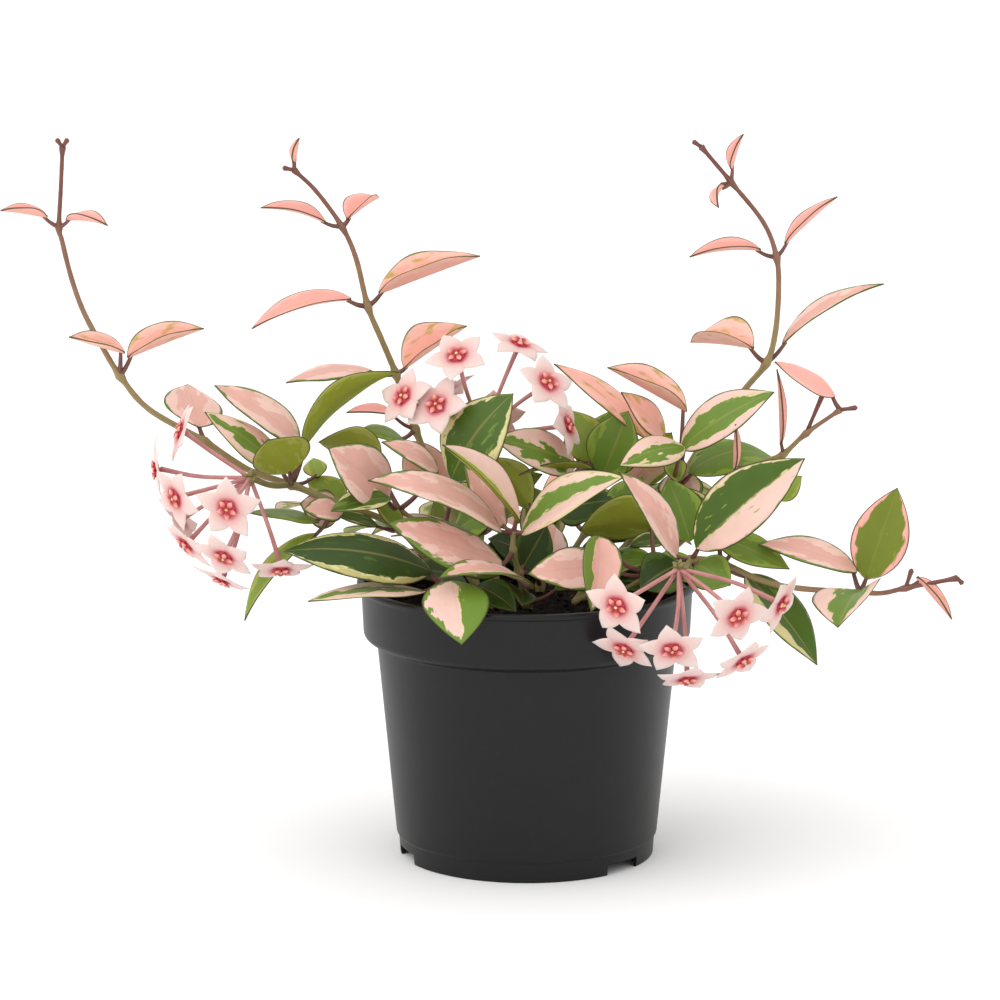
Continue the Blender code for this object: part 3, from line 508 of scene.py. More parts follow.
def waxy_petal():
    """Fleshy corolla: wax-white flushed with pink, deepest round the corona, and velvety
    with papillae too fine to see one by one."""
    material, tree, shader = new_finish("waxy_petal")
    spot = add(tree, "ShaderNodeAttribute", attribute_name="bloom", out="Vector")
    reach = add(tree, "ShaderNodeSeparateXYZ", {"Vector": spot}, out="X")
    grain = add(tree, "ShaderNodeTexCoord", out="Object")
    clouds = add(tree, "ShaderNodeTexNoise", {"Vector": grain, "Scale": 1 / 0.004, "Detail": 3.0})
    shift = add(tree, "ShaderNodeMapRange", {"Value": clouds, "To Min": -0.06, "To Max": 0.06})
    place = add(tree, "ShaderNodeMath", {0: reach, 1: shift}, operation="ADD")
    colour = add(tree, "ShaderNodeValToRGB", {"Fac": place},
                 stops=[(0.16, paint("#a8162b")), (0.28, paint("#c65f6a")), (0.4, paint("#dcaaa5")),
                        (0.58, paint("#dfc2bb")), (1.0, paint("#e4d0c9"))])
    felt = add(tree, "ShaderNodeTexNoise", {"Vector": grain, "Scale": 1 / 0.0006, "Detail": 2.0})
    bump = add(tree, "ShaderNodeBump", {"Height": felt, "Strength": 0.2, "Distance": 0.0002})
    plug(tree, shader, {"Base Color": colour, "Roughness": 0.55, "Normal": bump,
                        "Sheen Weight": 0.3, "Sheen Roughness": 0.4, "Subsurface Weight": 0.2,
                        "Subsurface Radius": (0.002, 0.001, 0.0008), "Subsurface Scale": 1.0})
    return material


def corona_wax():
    """The corona's lobes: hard, glassy wax, crimson at the heart and peach at the tips. The peach
    on their upper sides is partly their own colour and partly a painted highlight; the crimson
    under them is partly painted shade.
    """
    material, tree, shader = new_finish("corona_wax")
    spot = add(tree, "ShaderNodeAttribute", attribute_name="bloom", out="Vector")
    reach = add(tree, "ShaderNodeSeparateXYZ", {"Vector": spot}, out="X")
    rise = add(tree, "ShaderNodeSeparateXYZ", {"Vector": spot}, out="Y")
    along = add(tree, "ShaderNodeValToRGB", {"Fac": reach},
                stops=[(0.05, paint("#7f0d1c")), (0.38, paint("#b52238")), (0.62, paint("#e68a74")),
                       (0.82, paint("#f0a892")), (1.0, paint("#d4506a"))])
    # the lobes' lower sides are crimson and their upper sides peach: partly their own colours,
    # partly painted highlight on top and painted shade below
    foot = add(tree, "ShaderNodeMapRange", {"Value": rise, "From Min": 0.1, "From Max": 0.6,
                                            "To Min": 1.0, "To Max": 0.0})
    colour = add(tree, "ShaderNodeMix", {"Factor": foot, "A": along, "B": paint("#b3213a")},
                 data_type="RGBA")
    plug(tree, shader, {"Base Color": colour, "Roughness": 0.22, "Coat Weight": 0.3,
                        "Coat Roughness": 0.12})
    return material


def pollen_wax():
    """The little bead at the centre of the corona: cream-yellow wax."""
    material, tree, shader = new_finish("pollen_wax")
    place = add(tree, "ShaderNodeTexCoord", out="Object")
    mottle = add(tree, "ShaderNodeTexNoise", {"Vector": place, "Scale": 1 / 0.0006})
    colour = add(tree, "ShaderNodeValToRGB", {"Fac": mottle},
                 stops=[(0.35, paint("#e0a640")), (0.65, paint("#f6e3a0"))])
    plug(tree, shader, {"Base Color": colour, "Roughness": 0.25})
    return material


# ---- mesh building -------------------------------------------------------------------
TUBE_END_RISE = 0.6


class Shape:
    """Corners, faces and per-corner values gathered for one mesh."""

    def __init__(self):
        self.corners = []
        self.faces = []
        self.finishes = []
        self.values = {}

    def corner(self, place, **values):
        number = len(self.corners)
        self.corners.append(place)
        for name, value in values.items():
            self.values.setdefault(name, {})[number] = value
        return number

    def face(self, corners, finish=0):
        self.faces.append(corners)
        self.finishes.append(finish)

    def band(self, near, far, finish=0):
        """The faces between two rings of as many corners each."""
        for n in range(len(near)):
            after = (n + 1) % len(near)
            self.face((near[n], far[n], far[after], near[after]), finish)

    def fan(self, tip, ring, finish=0):
        """The faces between one corner and a ring."""
        for n in range(len(ring)):
            self.face((tip, ring[n], ring[(n + 1) % len(ring)]), finish)

    def piece(self, name, materials):
        """The shape as a Blender object with its outward sides outward."""
        mesh = bpy.data.meshes.new(name)
        mesh.from_pydata([tuple(c) for c in self.corners], [], self.faces)
        for material in materials:
            mesh.materials.append(material)
        mesh.polygons.foreach_set("material_index", self.finishes)
        numbers = range(len(self.corners))
        for value_name, known in self.values.items():
            if isinstance(next(iter(known.values())), float):
                layer = mesh.attributes.new(value_name, "FLOAT", "POINT")
                layer.data.foreach_set("value", [known.get(n, 0.0) for n in numbers])
            else:
                layer = mesh.attributes.new(value_name, "FLOAT_VECTOR", "POINT")
                flat = [v for n in numbers for v in known.get(n, (0.0, 0.0, 0.0))]
                layer.data.foreach_set("vector", flat)
        tidy = bmesh.new()
        tidy.from_mesh(mesh)
        bmesh.ops.recalc_face_normals(tidy, faces=tidy.faces)
        tidy.to_mesh(mesh)
        tidy.free()
        mesh.shade_smooth()
        item = bpy.data.objects.new(name, mesh)
        bpy.context.scene.collection.objects.link(item)
        return item


def smooth_route(route, steps):
    """Points on a smooth curve through the route, with the fractional joint of each."""
    ends = [route[0] * 2 - route[1]] + list(route) + [route[-1] * 2 - route[-2]]
    found = []
    for number in range(len(route) - 1):
        before, start, end, after = ends[number:number + 4]
        for step in range(steps):
            t = step / steps
            place = 0.5 * (2 * start + (end - before) * t
                           + (2 * before - 5 * start + 4 * end - after) * t ** 2
                           + (3 * start - before - 3 * end + after) * t ** 3)
            found.append((place, number + t))
    found.append((route[-1], float(len(route) - 1)))
    return found


def add_tube(shape, route, radii, sides, finish=0, youth=None, seed=0.0):
    """A round solid along a route, with rounded ends and its grain running along it."""
    frames = []
    across = None
    for number, place in enumerate(route):
        ahead = route[min(number + 1, len(route) - 1)]
        behind = route[max(number - 1, 0)]
        along = (ahead - behind).normalized()
        if across is None:
            across = along.orthogonal().normalized()
        across = (across - along * across.dot(along)).normalized()
        frames.append((place, along, across, along.cross(across)))
    rings = []
    run = 0.0
    for number, (place, along, across, other) in enumerate(frames):
        if number:
            run += (place - frames[number - 1][0]).length
        ring = []
        for side in range(sides):
            turn = 2.0 * math.pi * side / sides
            outward = across * math.cos(turn) + other * math.sin(turn)
            values = {"grain": (run, math.sin(turn) * radii[number], seed)}
            if youth is not None:
                values["youth"] = youth[number]
            ring.append(shape.corner(place + outward * radii[number], **values))
        rings.append(ring)
    for ring, following in zip(rings, rings[1:]):
        shape.band(ring, following, finish)
    for ring, (place, along, _, _), radius, way, number in (
            (rings[0], frames[0], radii[0], -1.0, 0),
            (rings[-1], frames[-1], radii[-1], 1.0, len(route) - 1)):
        values = {"grain": (run if number else 0.0, 0.0, seed)}
        if youth is not None:
            values["youth"] = youth[number]
        cap = shape.corner(place + along * way * radius * TUBE_END_RISE, **values)
        shape.fan(cap, ring, finish)


# ---- leaves --------------------------------------------------------------------------
BLADE_ROWS = 30
HALF_COLUMNS = 7
BLADE_THICKNESS = 1.0
PETIOLE_RADIUS = 0.85
OUTLINE_FOOT = 0.72
OUTLINE_TIP = 0.98
KEEL_HEIGHT = 0.35
KEEL_HALF_WIDTH = 0.7
PETIOLE_INSET = 1.5
PETIOLE_SAG = 0.08
FULL_PETIOLE_WIDTH = 14.0
SLOPE_STEP = 0.01
# how far apart two leaves' patterns are taken from the same noise
LEAF_GRAIN_STEP = 1.7


def outline(share):
    """Half width of a blade at a share of its length, 1 at its widest."""
    widest = OUTLINE_FOOT / (OUTLINE_FOOT + OUTLINE_TIP)
    peak = widest ** OUTLINE_FOOT * (1.0 - widest) ** OUTLINE_TIP
    return share ** OUTLINE_FOOT * (1.0 - share) ** OUTLINE_TIP / peak


def add_petiole(shape, start, foot, along, width, seed):
    """A short stalk that sags from the shoot to just inside the blade."""
    inside = foot + along * (PETIOLE_INSET * MM)
    sag = (foot - start).length * PETIOLE_SAG
    middle = start.lerp(inside, 0.5) - Vector((0.0, 0.0, sag))
    route = [place for place, _ in smooth_route([start, middle, inside], 6)]
    stoutness = 0.55 + 0.45 * min(1.0, width / FULL_PETIOLE_WIDTH)
    last = len(route) - 1
    radii = [PETIOLE_RADIUS * MM * (1.25 - 0.45 * n / last) * stoutness for n in range(last + 1)]
    add_tube(shape, route, radii, 10, finish=2, seed=seed * LEAF_GRAIN_STEP)


def close_blade(shape, upper, under):
    """The faces of the upper and under sheets, and of the blade's blunt foot and tip."""
    for sheet, finish in ((upper, 0), (under, 1)):
        for row, following in zip(sheet, sheet[1:]):
            for n in range(len(row) - 1):
                shape.face((row[n], row[n + 1], following[n + 1], following[n]), finish)
    for end in (0, -1):
        shape.face(upper[end] + under[end][-2:0:-1], 0)


def build_leaf(name, shoot, row, materials, seed):
    """A thick blade, folded along its midrib, with a rounded edge, on its petiole."""
    joint, foot, tip, width, face, fold, arch, _ = row
    chance = random.Random(seed)
    start, foot, tip = point(SHOOTS[shoot][joint]), point(foot), point(tip)
    along = (tip - foot).normalized()
    across = along.cross(Vector(face)).normalized()
    up = across.cross(along)
    length = (tip - foot).length
    rise = math.radians(fold)
    curl = chance.uniform(0.04, 0.14)
    wave = chance.uniform(0.02, 0.05)
    phase = chance.uniform(0.0, 2.0 * math.pi)
    sway = chance.uniform(-0.03, 0.03)
    shape = Shape()

    def surface(share, side):
        """A place on the middle sheet of the blade."""
        bow = 4.0 * arch * share * (1.0 - share)
        slope = 4.0 * arch * (1.0 - 2.0 * share)
        bend = sway * math.sin(math.pi * share)
        centre = foot + along * (length * share) + up * (length * bow) + across * (length * bend)
        raised = across.cross((along + up * slope).normalized())
        half = max(outline(share) * width * 0.5, 0.25 + 0.5 * (1.0 - share)) * MM
        fold_side = math.sqrt(side * side + 0.01) - 0.1
        lift = fold_side * math.sin(rise) - curl * side * side
        lift += wave * abs(side) ** 3 * math.sin(phase + 9.0 * share + 1.5 * side)
        return centre + across * (side * half * math.cos(rise)) + raised * (lift * half)

    columns = [n / HALF_COLUMNS for n in range(-HALF_COLUMNS, HALF_COLUMNS + 1)]
    columns = [math.copysign(abs(c) ** 0.85, c) for c in columns]
    shares = [0.5 - 0.5 * math.cos(math.pi * n / BLADE_ROWS) for n in range(BLADE_ROWS + 1)]
    upper, under = [], []
    for share in shares:
        top, bottom = [], []
        for side in columns:
            place = surface(share, side)
            before, after = max(share - SLOPE_STEP, 0.0), min(share + SLOPE_STEP, 1.0)
            ahead = surface(after, side) - surface(before, side)
            aside = surface(share, side + SLOPE_STEP) - surface(share, side - SLOPE_STEP)
            normal = aside.cross(ahead).normalized()
            if normal.dot(up) < 0:
                normal = -normal
            half_mm = outline(share) * width * 0.5
            values = {"blade": (share, side, (1.0 - abs(side)) * half_mm),
                      "grain": (share * length, side * half_mm * MM, seed * LEAF_GRAIN_STEP)}
            body = math.sqrt(max(1.0 - abs(side) ** 5, 0.0))
            thick = BLADE_THICKNESS * MM * 0.5 * body * (0.55 + 0.45 * math.sin(math.pi * share))
            keel = math.exp(-(side * half_mm / KEEL_HALF_WIDTH) ** 2) * (1.0 - share)
            deep = thick + KEEL_HEIGHT * MM * keel
            top.append(shape.corner(place + normal * thick, **values))
            on_edge = abs(side) >= 1.0
            bottom.append(top[-1] if on_edge else shape.corner(place - normal * deep, **values))
        upper.append(top)
        under.append(bottom)
    close_blade(shape, upper, under)
    add_petiole(shape, start, foot, along, width, seed)
    return shape.piece(name, materials)


# ---- shoots --------------------------------------------------------------------------
JOINT_SWELLING = 0.8
JOINT_LENGTH = 1.8
SPAN_STEPS = 10
ROOT_DEPTH = 7.0


def build_shoot(name, shoot, material, seed):
    """A tapering shoot, swollen at each leaf joint, with its roots' end in the soil."""
    joints = [point(joint) for joint in SHOOTS[shoot]]
    leafy = {row[0] for row in LEAVES[shoot]} | {stub[1] for stub in STUBS if stub[0] == shoot}
    below = joints[0] - (joints[1] - joints[0]).normalized() * ROOT_DEPTH * MM
    chance = random.Random(seed)
    shape = Shape()
    places = smooth_route([below] + joints, SPAN_STEPS)
    route, radii, youth = [], [], []
    total = len(joints) - 1
    for place, where in places:
        share = max(where - 1.0, 0.0) / total
        radius = SHOOT_ROOT_RADIUS + (SHOOT_TIP_RADIUS - SHOOT_ROOT_RADIUS) * share
        for joint in leafy:
            gap = (place - joints[joint]).length / MM
            radius += JOINT_SWELLING * (0.75 if share > 0.6 else 1.0) * math.exp(
                -(gap / JOINT_LENGTH) ** 2)
        route.append(place)
        radii.append(radius * chance.uniform(0.95, 1.05) * MM)
        youth.append(min(1.0, share * min(total / 9.0, 1.0)))
    add_tube(shape, route, radii, 14, youth=youth, seed=seed * 3.1)
    for stub_shoot, joint, end in STUBS:
        if stub_shoot != shoot:
            continue
        start, end = joints[joint], point(end)
        stub_route = [start.lerp(end, t) for t in (0.0, 0.4, 0.75, 0.9, 1.0)]
        stub_radii = [SHOOT_TIP_RADIUS * MM * w for w in (1.1, 0.95, 1.2, 1.35, 0.8)]
        add_tube(shape, stub_route, stub_radii, 10, youth=[1.0] * 5, seed=seed * 3.1 + joint)
    return shape.piece(name, [material])


# ---- umbels --------------------------------------------------------------------------
FLOWER_REACH = 12.2
FLOWER_NOTCH = 7.1
LOBES = 5
LOBE_STEPS = 12
LOBE_BULGE = 0.8
LOBE_CUP = 1.1
LOBE_DROOP = 1.6
COROLLA_RINGS = 9
COROLLA_THICKNESS = 0.8
CORONA_CUSHION = (3.1, 3.1, 0.8)
CORONA_LOBE = (2.0, 1.1, 0.8)
CORONA_BEAD = (0.6, 0.6, 0.55)
PEDUNCLE_RADIUS = 1.15
PEDICEL_RADIUS = 0.75
HEAD_KNOBS = 26


def lobe_radius(edge, reach):
    """Radius of a pointed lobe's outline, from its tip (edge 0) to the notch (edge 1)."""
    half = math.pi / LOBES
    straight = reach * FLOWER_NOTCH * math.sin(half) / (
        reach * math.sin(half * edge) + FLOWER_NOTCH * math.sin(half * (1.0 - edge)))
    return straight + LOBE_BULGE * math.sin(math.pi * edge)


def flower_frame(centre, facing, turn):
    aim = facing.to_track_quat("Z", "Y").to_matrix().to_4x4()
    return Matrix.Translation(centre) @ aim @ Matrix.Rotation(turn, 4, "Z")


def add_corolla(shape, place, chance):
    """Five fleshy pointed lobes joined round the middle, a little recurved at the tips."""
    count = LOBES * LOBE_STEPS
    recurve = [chance.uniform(-0.5, 1.0) for _ in range(LOBES)]
    stretch = [chance.uniform(0.94, 1.06) for _ in range(LOBES)]
    layers = []
    for level in (1.0, -1.0):
        grid = []
        for ring in range(1, COROLLA_RINGS + 1):
            share = ring / COROLLA_RINGS
            row = []
            for n in range(count):
                lobe = ((n + LOBE_STEPS // 2) // LOBE_STEPS) % LOBES
                off = (n + LOBE_STEPS / 2) % LOBE_STEPS - LOBE_STEPS / 2
                edge = abs(off) / (LOBE_STEPS / 2)
                radius = lobe_radius(edge, FLOWER_REACH * stretch[lobe]) * share
                turn = 2.0 * math.pi * n / count
                cup = LOBE_CUP * math.sin(math.pi * min(radius / FLOWER_REACH, 1.0) * 0.8)
                droop = recurve[lobe] * LOBE_DROOP * (radius / FLOWER_REACH) ** 3
                margin = 0.5 * (edge * share) ** 2
                body = COROLLA_THICKNESS * math.sqrt(max(1.0 - share ** 4, 0.0)) + 0.02
                height = cup - droop - margin + level * body * 0.5
                spot = Vector((radius * math.cos(turn), radius * math.sin(turn), height)) * MM
                row.append(shape.corner(place @ spot, bloom=(radius / FLOWER_REACH, 0.0, 0.0)))
            grid.append(row)
        middle = shape.corner(place @ Vector((0.0, 0.0, level * 0.3 * MM)), bloom=(0.0, 0.0, 0.0))
        shape.fan(middle, grid[0])
        for inner, outer in zip(grid, grid[1:]):
            shape.band(inner, outer)
        layers.append(grid[-1])
    shape.band(*layers)


def add_bulb(shape, place, size, lift, finish, rings=6, sides=12, point_out=0.0, values=None):
    """A rounded blob at a place: its size along X, Y and Z, drawn to a point along +X."""
    grid = []
    for ring in range(1, rings):
        polar = math.pi * ring / rings
        row = []
        for n in range(sides):
            turn = 2.0 * math.pi * n / sides
            x, y, z = (math.cos(polar), math.sin(polar) * math.cos(turn),
                       math.sin(polar) * math.sin(turn))
            narrow = 1.0 - point_out * max(x, 0.0) ** 1.5
            spot = Vector((x * size[0], y * size[1] * narrow, z * size[2] * narrow)) + lift
            row.append(shape.corner(place @ (spot * MM), bloom=values(x, z)))
        grid.append(row)
    for x, ring in ((1.0, grid[0]), (-1.0, grid[-1])):
        spot = Vector((x * size[0], 0.0, 0.0)) + lift
        shape.fan(shape.corner(place @ (spot * MM), bloom=values(x, 0.0)), ring, finish)
    for near, far in zip(grid, grid[1:]):
        shape.band(near, far, finish)


def add_corona(shape, place):
    """Five glossy lobes round a bead, standing on a low crimson cushion."""
    add_bulb(shape, place, CORONA_CUSHION, Vector((0.0, 0.0, 1.1)), 1,
             values=lambda x, z: (0.1, 0.0, 0.0))
    for lobe in range(LOBES):
        turned = place @ Matrix.Rotation((2.0 * lobe + 1.0) * math.pi / LOBES, 4, "Z")
        tilt = turned @ Matrix.Rotation(math.radians(-10.0), 4, "Y")
        add_bulb(shape, tilt, CORONA_LOBE, Vector((2.4, 0.0, 1.6)), 1, rings=8,
                 point_out=0.8, values=lambda x, z: (0.5 + 0.5 * x, 0.5 + 0.5 * z, 0.0))
    add_bulb(shape, place, CORONA_BEAD, Vector((0.0, 0.0, 2.1)), 2,
             values=lambda x, z: (0.0, 1.0, 0.0))


def build_umbel(name, umbel, finishes, seed):
    """A flower stalk with its knobbly head, and a pedicel and a starry flower at each place."""
    shoot, joint, head_mm, lean, flowers = umbel
    chance = random.Random(seed)
    head = point(head_mm)
    start = point(SHOOTS[shoot][joint])
    lean = Vector(lean).normalized()
    stalks = Shape()
    middle = start.lerp(head, 0.5) + Vector((0.0, 0.0, -0.06)) * (head - start).length
    route = [place for place, _ in smooth_route([start, middle, head], 10)]
    add_tube(stalks, route, [PEDUNCLE_RADIUS * MM] * len(route), 12, finish=0, seed=seed)
    for knob in range(HEAD_KNOBS):
        way = Vector((chance.gauss(0, 1), chance.gauss(0, 1), chance.gauss(0, 1))).normalized()
        foot = head + way * 1.0 * MM
        out = head + way * chance.uniform(2.2, 3.4) * MM
        add_tube(stalks, [foot, foot.lerp(out, 0.6), out],
                 [0.8 * MM, 0.75 * MM, 0.5 * MM], 8, finish=0, seed=knob)
    pieces = []
    for number, offset in enumerate(flowers, 1):
        spot = head + point(offset)
        outward = (spot - head).normalized()
        facing = (outward * 0.75 + lean * 0.35).normalized()
        back = spot - facing * 0.6 * MM
        swing = (spot - head).length * chance.uniform(-0.05, 0.05)
        bend = head.lerp(back, 0.55) + outward.orthogonal().normalized() * swing
        route = [place for place, _ in smooth_route([head, bend, back], 8)]
        count = len(route) - 1
        radii = [PEDICEL_RADIUS * MM * (1.0 + 0.35 * (n / count) ** 4) for n in range(count + 1)]
        add_tube(stalks, route, radii, 10, finish=1, seed=seed + number)
        bloom = Shape()
        place = flower_frame(spot, facing, chance.uniform(0.0, 2.0 * math.pi))
        add_corolla(bloom, place, chance)
        add_corona(bloom, place)
        pieces.append(bloom.piece(f"{name}_flower_{number}", finishes["flower"]))
    pieces.append(stalks.piece(f"{name}_stalks", finishes["stalks"]))
    return pieces


# ---- soil and pot --------------------------------------------------------------------
POT_HEIGHT = 101.0
RIM_RADIUS = 60.0
LIP_RADIUS = 61.6
BAND_HEIGHT = 19.0
BAND_FOOT_RADIUS = 59.2
SHOULDER_DROP = 3.0
BODY_TOP_RADIUS = 54.0
BODY_FOOT_RADIUS = 47.5
FOOT_HEIGHT = 8.0
FOOT_RADIUS = 46.2
WALL = 1.4
FLOOR_RISE = 4.0
CENTRE_PAD_RADIUS = 9.0
EDGE_ROUNDING = 1.0
NOTCH_ANGLES = (48.5, 168.5, 288.5)
NOTCH_WIDTH = 16.0
NOTCH_DEPTH = 8.0
NOTCH_HEIGHT = 4.2
NOTCH_SINK = 0.3
NOTCH_ROUNDING = 0.9
DRAIN_RING = 34.0
DRAIN_RADIUS = 4.0
DRAIN_CUT_DEPTH = 12.0
POT_STEPS = 180


def rounded(profile, radius, steps=4):
    """The profile with each of its inner corners rounded off by about the radius."""
    points = [profile[0]]
    for before, here, after in zip(profile, profile[1:], profile[2:]):
        here = Vector(here)
        back, ahead = Vector(before) - here, Vector(after) - here
        reach = min(radius, back.length * 0.45, ahead.length * 0.45)
        start, end = here + back.normalized() * reach, here + ahead.normalized() * reach
        for step in range(steps + 1):
            t = step / steps
            points.append(tuple(start * (1 - t) ** 2 + here * 2 * t * (1 - t) + end * t * t))
    points.append(profile[-1])
    return points


def around(radius, turn, height):
    """A place on a ring, its turn counted from the front towards the right."""
    return Vector((radius * math.sin(turn), -radius * math.cos(turn), height)) * MM


def pot_profile():
    """Radius and height from the floor up the inside, over the lip and down the outside."""
    shoulder_top = POT_HEIGHT - BAND_HEIGHT
    body_top = shoulder_top - SHOULDER_DROP
    floor_top = FLOOR_RISE + WALL
    return [
        (0.0, floor_top), (BODY_FOOT_RADIUS - WALL, floor_top),
        (BODY_TOP_RADIUS - WALL, body_top), (BAND_FOOT_RADIUS - WALL, shoulder_top),
        (RIM_RADIUS - WALL, POT_HEIGHT - 0.8), (RIM_RADIUS - WALL + 0.3, POT_HEIGHT),
        (LIP_RADIUS, POT_HEIGHT), (LIP_RADIUS, POT_HEIGHT - 1.9), (RIM_RADIUS, POT_HEIGHT - 2.4),
        (BAND_FOOT_RADIUS, shoulder_top), (BAND_FOOT_RADIUS - 0.9, shoulder_top - 1.4),
        (BODY_TOP_RADIUS + 0.4, body_top), (BODY_FOOT_RADIUS, FOOT_HEIGHT),
        (FOOT_RADIUS + 0.5, FOOT_HEIGHT - 0.7), (FOOT_RADIUS, 0.0), (FOOT_RADIUS - WALL, 0.0),
        (FOOT_RADIUS - WALL, FLOOR_RISE), (CENTRE_PAD_RADIUS + 1.0, FLOOR_RISE),
        (CENTRE_PAD_RADIUS, 0.0), (0.0, 0.0)]


def foot_cutters():
    """A rounded block for each foot notch and a rod for each drain hole between them."""
    cutters = []
    for angle in NOTCH_ANGLES:
        turn = math.radians(angle)
        bpy.ops.mesh.primitive_cube_add(size=1.0)
        notch = bpy.context.object
        notch.scale = Vector((NOTCH_WIDTH, NOTCH_DEPTH, 2.0 * NOTCH_HEIGHT)) * MM
        notch.rotation_euler.z = turn
        notch.location = around(FOOT_RADIUS, turn, -NOTCH_SINK)
        soften = notch.modifiers.new("rounded", "BEVEL")
        soften.width = NOTCH_ROUNDING * MM
        soften.segments = 3
        cutters.append(notch)
        bpy.ops.mesh.primitive_cylinder_add(vertices=32, radius=DRAIN_RADIUS * MM,
                                            depth=DRAIN_CUT_DEPTH * MM)
        drain = bpy.context.object
        drain.location = around(DRAIN_RING, turn + math.pi / 3.0, FLOOR_RISE)
        cutters.append(drain)
    return cutters


def build_pot(material):
    """The turned shell with a rolled lip, cut by its foot notches and drain holes."""
    shape = Shape()
    rings = []
    for radius, height in rounded(pot_profile(), EDGE_ROUNDING):
        if radius < 0.001:
            rings.append([shape.corner(Vector((0.0, 0.0, height)) * MM)])
            continue
        ring = []
        for step in range(POT_STEPS):
            turn = 2.0 * math.pi * step / POT_STEPS
            ring.append(shape.corner(
                Vector((radius * math.cos(turn), radius * math.sin(turn), height)) * MM))
        rings.append(ring)
    for near, far in zip(rings, rings[1:]):
        if len(near) == 1:
            shape.fan(near[0], far)
        elif len(far) == 1:
            shape.fan(far[0], near)
        else:
            shape.band(near, far)
    pot = shape.piece("nursery_pot", [material])
    cutters = foot_cutters()
    for cutter in cutters:
        cut = pot.modifiers.new("cut", "BOOLEAN")
        cut.operation = "DIFFERENCE"
        cut.solver = "EXACT"
        cut.object = cutter
    settle(pot)
    for cutter in cutters:
        bpy.data.objects.remove(cutter, do_unlink=True)
    pot.data.set_sharp_from_angle(angle=math.radians(40.0))
    return pot


def settle(item):
    """Apply a piece's modifiers."""
    bpy.context.view_layer.update()
    solid = item.evaluated_get(bpy.context.evaluated_depsgraph_get())
    mesh = bpy.data.meshes.new_from_object(solid)
    item.modifiers.clear()
    item.data = mesh


SOIL_FOOT = 83.5
SOIL_EDGE_DROP = 2.0
SOIL_RINGS = 46
SOIL_STEPS = 150
CRUMBS = 420


def build_soil(material):
    """The top of the root ball: heaped crumbs between the shoots, sunk at the wall."""
    chance = random.Random(11)
    shape = Shape()
    wall = BAND_FOOT_RADIUS - WALL - 0.2
    grid = []
    for ring in range(1, SOIL_RINGS + 1):
        radius = wall * ring / SOIL_RINGS
        row = []
        for step in range(SOIL_STEPS):
            turn = 2.0 * math.pi * step / SOIL_STEPS
            x, y = radius * math.cos(turn), radius * math.sin(turn)
            heap = noise.noise(Vector((x / 11.0, y / 11.0, 0.0))) * 1.1
            heap += noise.noise(Vector((x / 3.2, y / 3.2, 4.0))) * 0.9
            heap += noise.noise(Vector((x / 1.2, y / 1.2, 9.0))) * 0.5
            sunk = SOIL_EDGE_DROP * smoothstep(0.75, 1.0, ring / SOIL_RINGS)
            height = SOIL_TOP - 0.4 + heap - sunk
            row.append(shape.corner(Vector((x, y, height)) * MM))
        grid.append(row)
    centre = shape.corner(Vector((0.0, 0.0, SOIL_TOP)) * MM)
    skirt = []
    for step in range(SOIL_STEPS):
        turn = 2.0 * math.pi * step / SOIL_STEPS
        skirt.append(shape.corner(
            Vector((wall * math.cos(turn), wall * math.sin(turn), SOIL_FOOT)) * MM))
    under = shape.corner(Vector((0.0, 0.0, SOIL_FOOT)) * MM)
    shape.fan(centre, grid[0])
    for near, far in zip(grid, grid[1:] + [skirt]):
        shape.band(near, far)
    shape.fan(under, skirt)
    for crumb in range(CRUMBS):
        radius = wall * 0.97 * math.sqrt(chance.random())
        turn = chance.uniform(0.0, 2.0 * math.pi)
        size = chance.uniform(0.6, 1.7) if crumb % 6 else chance.uniform(1.8, 3.0)
        flat = chance.uniform(0.35, 0.9)
        height = SOIL_TOP + chance.uniform(-0.8, 0.5) - 1.6 * smoothstep(0.75, 1.0, radius / wall)
        place = Vector((radius * math.cos(turn), radius * math.sin(turn), height))
        add_crumb(shape, place, size, flat, chance)
    return shape.piece("potting_soil", [material])


def add_crumb(shape, place, size, flat, chance):
    """A broken lump of bark or peat."""
    lump = bmesh.new()
    bmesh.ops.create_icosphere(lump, subdivisions=1, radius=1.0)
    spin = Matrix.Rotation(chance.uniform(0, 6.28), 3, "Z") @ Matrix.Rotation(
        chance.uniform(-0.6, 0.6), 3, "X")
    first = len(shape.corners)
    long = chance.uniform(0.8, 1.7)
    for corner in lump.verts:
        rough = corner.co * chance.uniform(0.75, 1.2)
        rough = spin @ Vector((rough.x * long, rough.y, rough.z * flat)) * size * 0.6
        shape.corner((place + rough) * MM)
    for face in lump.faces:
        shape.face([first + corner.index for corner in face.verts])
    lump.free()


# ---- the room ------------------------------------------------------------------------
FLOOR_TONE = "#fdfdfd"


def build_stage():
    """A pale floor: one wide flat plane that runs on far behind."""
    bpy.ops.mesh.primitive_plane_add(size=12.0)
    floor = bpy.context.object
    floor.name = "pale_floor"
    material, tree, shader = new_finish("pale_paper_sweep")
    plug(tree, shader, {"Base Color": paint(FLOOR_TONE), "Roughness": 0.9})
    floor.data.materials.append(material)


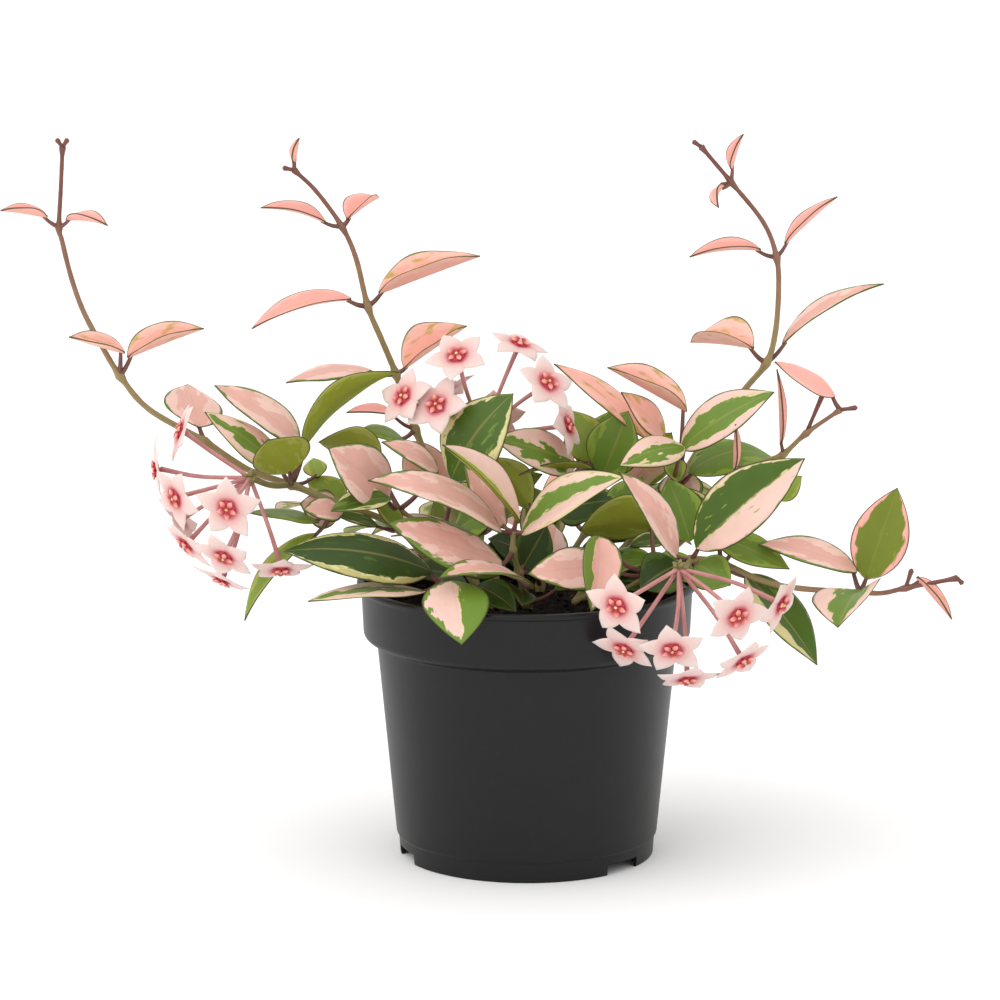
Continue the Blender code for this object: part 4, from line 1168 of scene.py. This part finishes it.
def build_lights():
    """A white room with one broad soft window high on the left."""
    world = bpy.data.worlds.new("white_room")
    world.use_nodes = True
    glow = world.node_tree.nodes["Background"]
    glow.inputs["Color"].default_value = paint("#ffffff")
    glow.inputs["Strength"].default_value = 1.08
    bpy.context.scene.world = world
    window = bpy.data.lights.new("window", "SUN")
    window.energy = 0.9
    window.angle = math.radians(70.0)
    item = bpy.data.objects.new("window", window)
    item.rotation_euler = Vector((1.0, 0.6, -1.15)).to_track_quat("-Z", "Y").to_euler()
    bpy.context.scene.collection.objects.link(item)
    bpy.context.scene.view_settings.view_transform = "Standard"


def build_camera():
    """A long lens a little above the plant, looking down by eleven degrees."""
    lens = bpy.data.cameras.new("front_camera")
    lens.sensor_width = 36.0
    lens.lens = 161.2
    lens.clip_start = 0.05
    camera = bpy.data.objects.new("front_camera", lens)
    camera.location = (-0.00975, -1.5862, 0.4369)
    camera.rotation_euler = (math.radians(79.057), 0.0, 0.0)
    bpy.context.scene.collection.objects.link(camera)
    bpy.context.scene.camera = camera


# ---- putting it together -------------------------------------------------------------
def attach(piece, slot, *nodes):
    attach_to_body(piece, BODY)
    if nodes:
        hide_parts(*nodes)


def main():
    build_camera()
    build_lights()
    build_stage()
    attach(build_pot(moulded_pot_plastic()), "pot", "pot")
    attach(build_soil(potting_mix()), "soil", "soil")

    bark = green_bark()
    petiole = fleshy_stalk("petiole_skin", "#5c3833", "#80574a")
    skins = {colouring: (waxy_leaf(colouring, False), waxy_leaf(colouring, True))
             for colouring in COLOURINGS}
    seed = 0
    for shoot in SHOOTS:
        seed += 1
        attach(build_shoot(f"shoot_{shoot}_bark", shoot, bark, seed), "shoot", f"shoot_{shoot}")
        for number, row in enumerate(LEAVES[shoot], 1):
            seed += 1
            upper, under = skins[row[-1]]
            name = f"leaf_{shoot}_{number}"
            leaf = build_leaf(f"waxy_{name}", shoot, row, (upper, under, petiole), seed)
            nodes = [name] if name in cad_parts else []
            attach(leaf, "leaf", *nodes)

    stalk_skins = (bark, fleshy_stalk("pedicel_skin", "#b06e6c", "#cf9792"))
    finishes = {"flower": (waxy_petal(), corona_wax(), pollen_wax()), "stalks": stalk_skins}
    for number, (side, umbel) in enumerate(UMBELS.items()):
        pieces = build_umbel(f"umbel_{side}", umbel, finishes, 500 + 20 * number)
        for piece in pieces:
            attach(piece, "flower")
        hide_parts(f"umbel_{side}")


main()
bpy.context.view_layer.update()
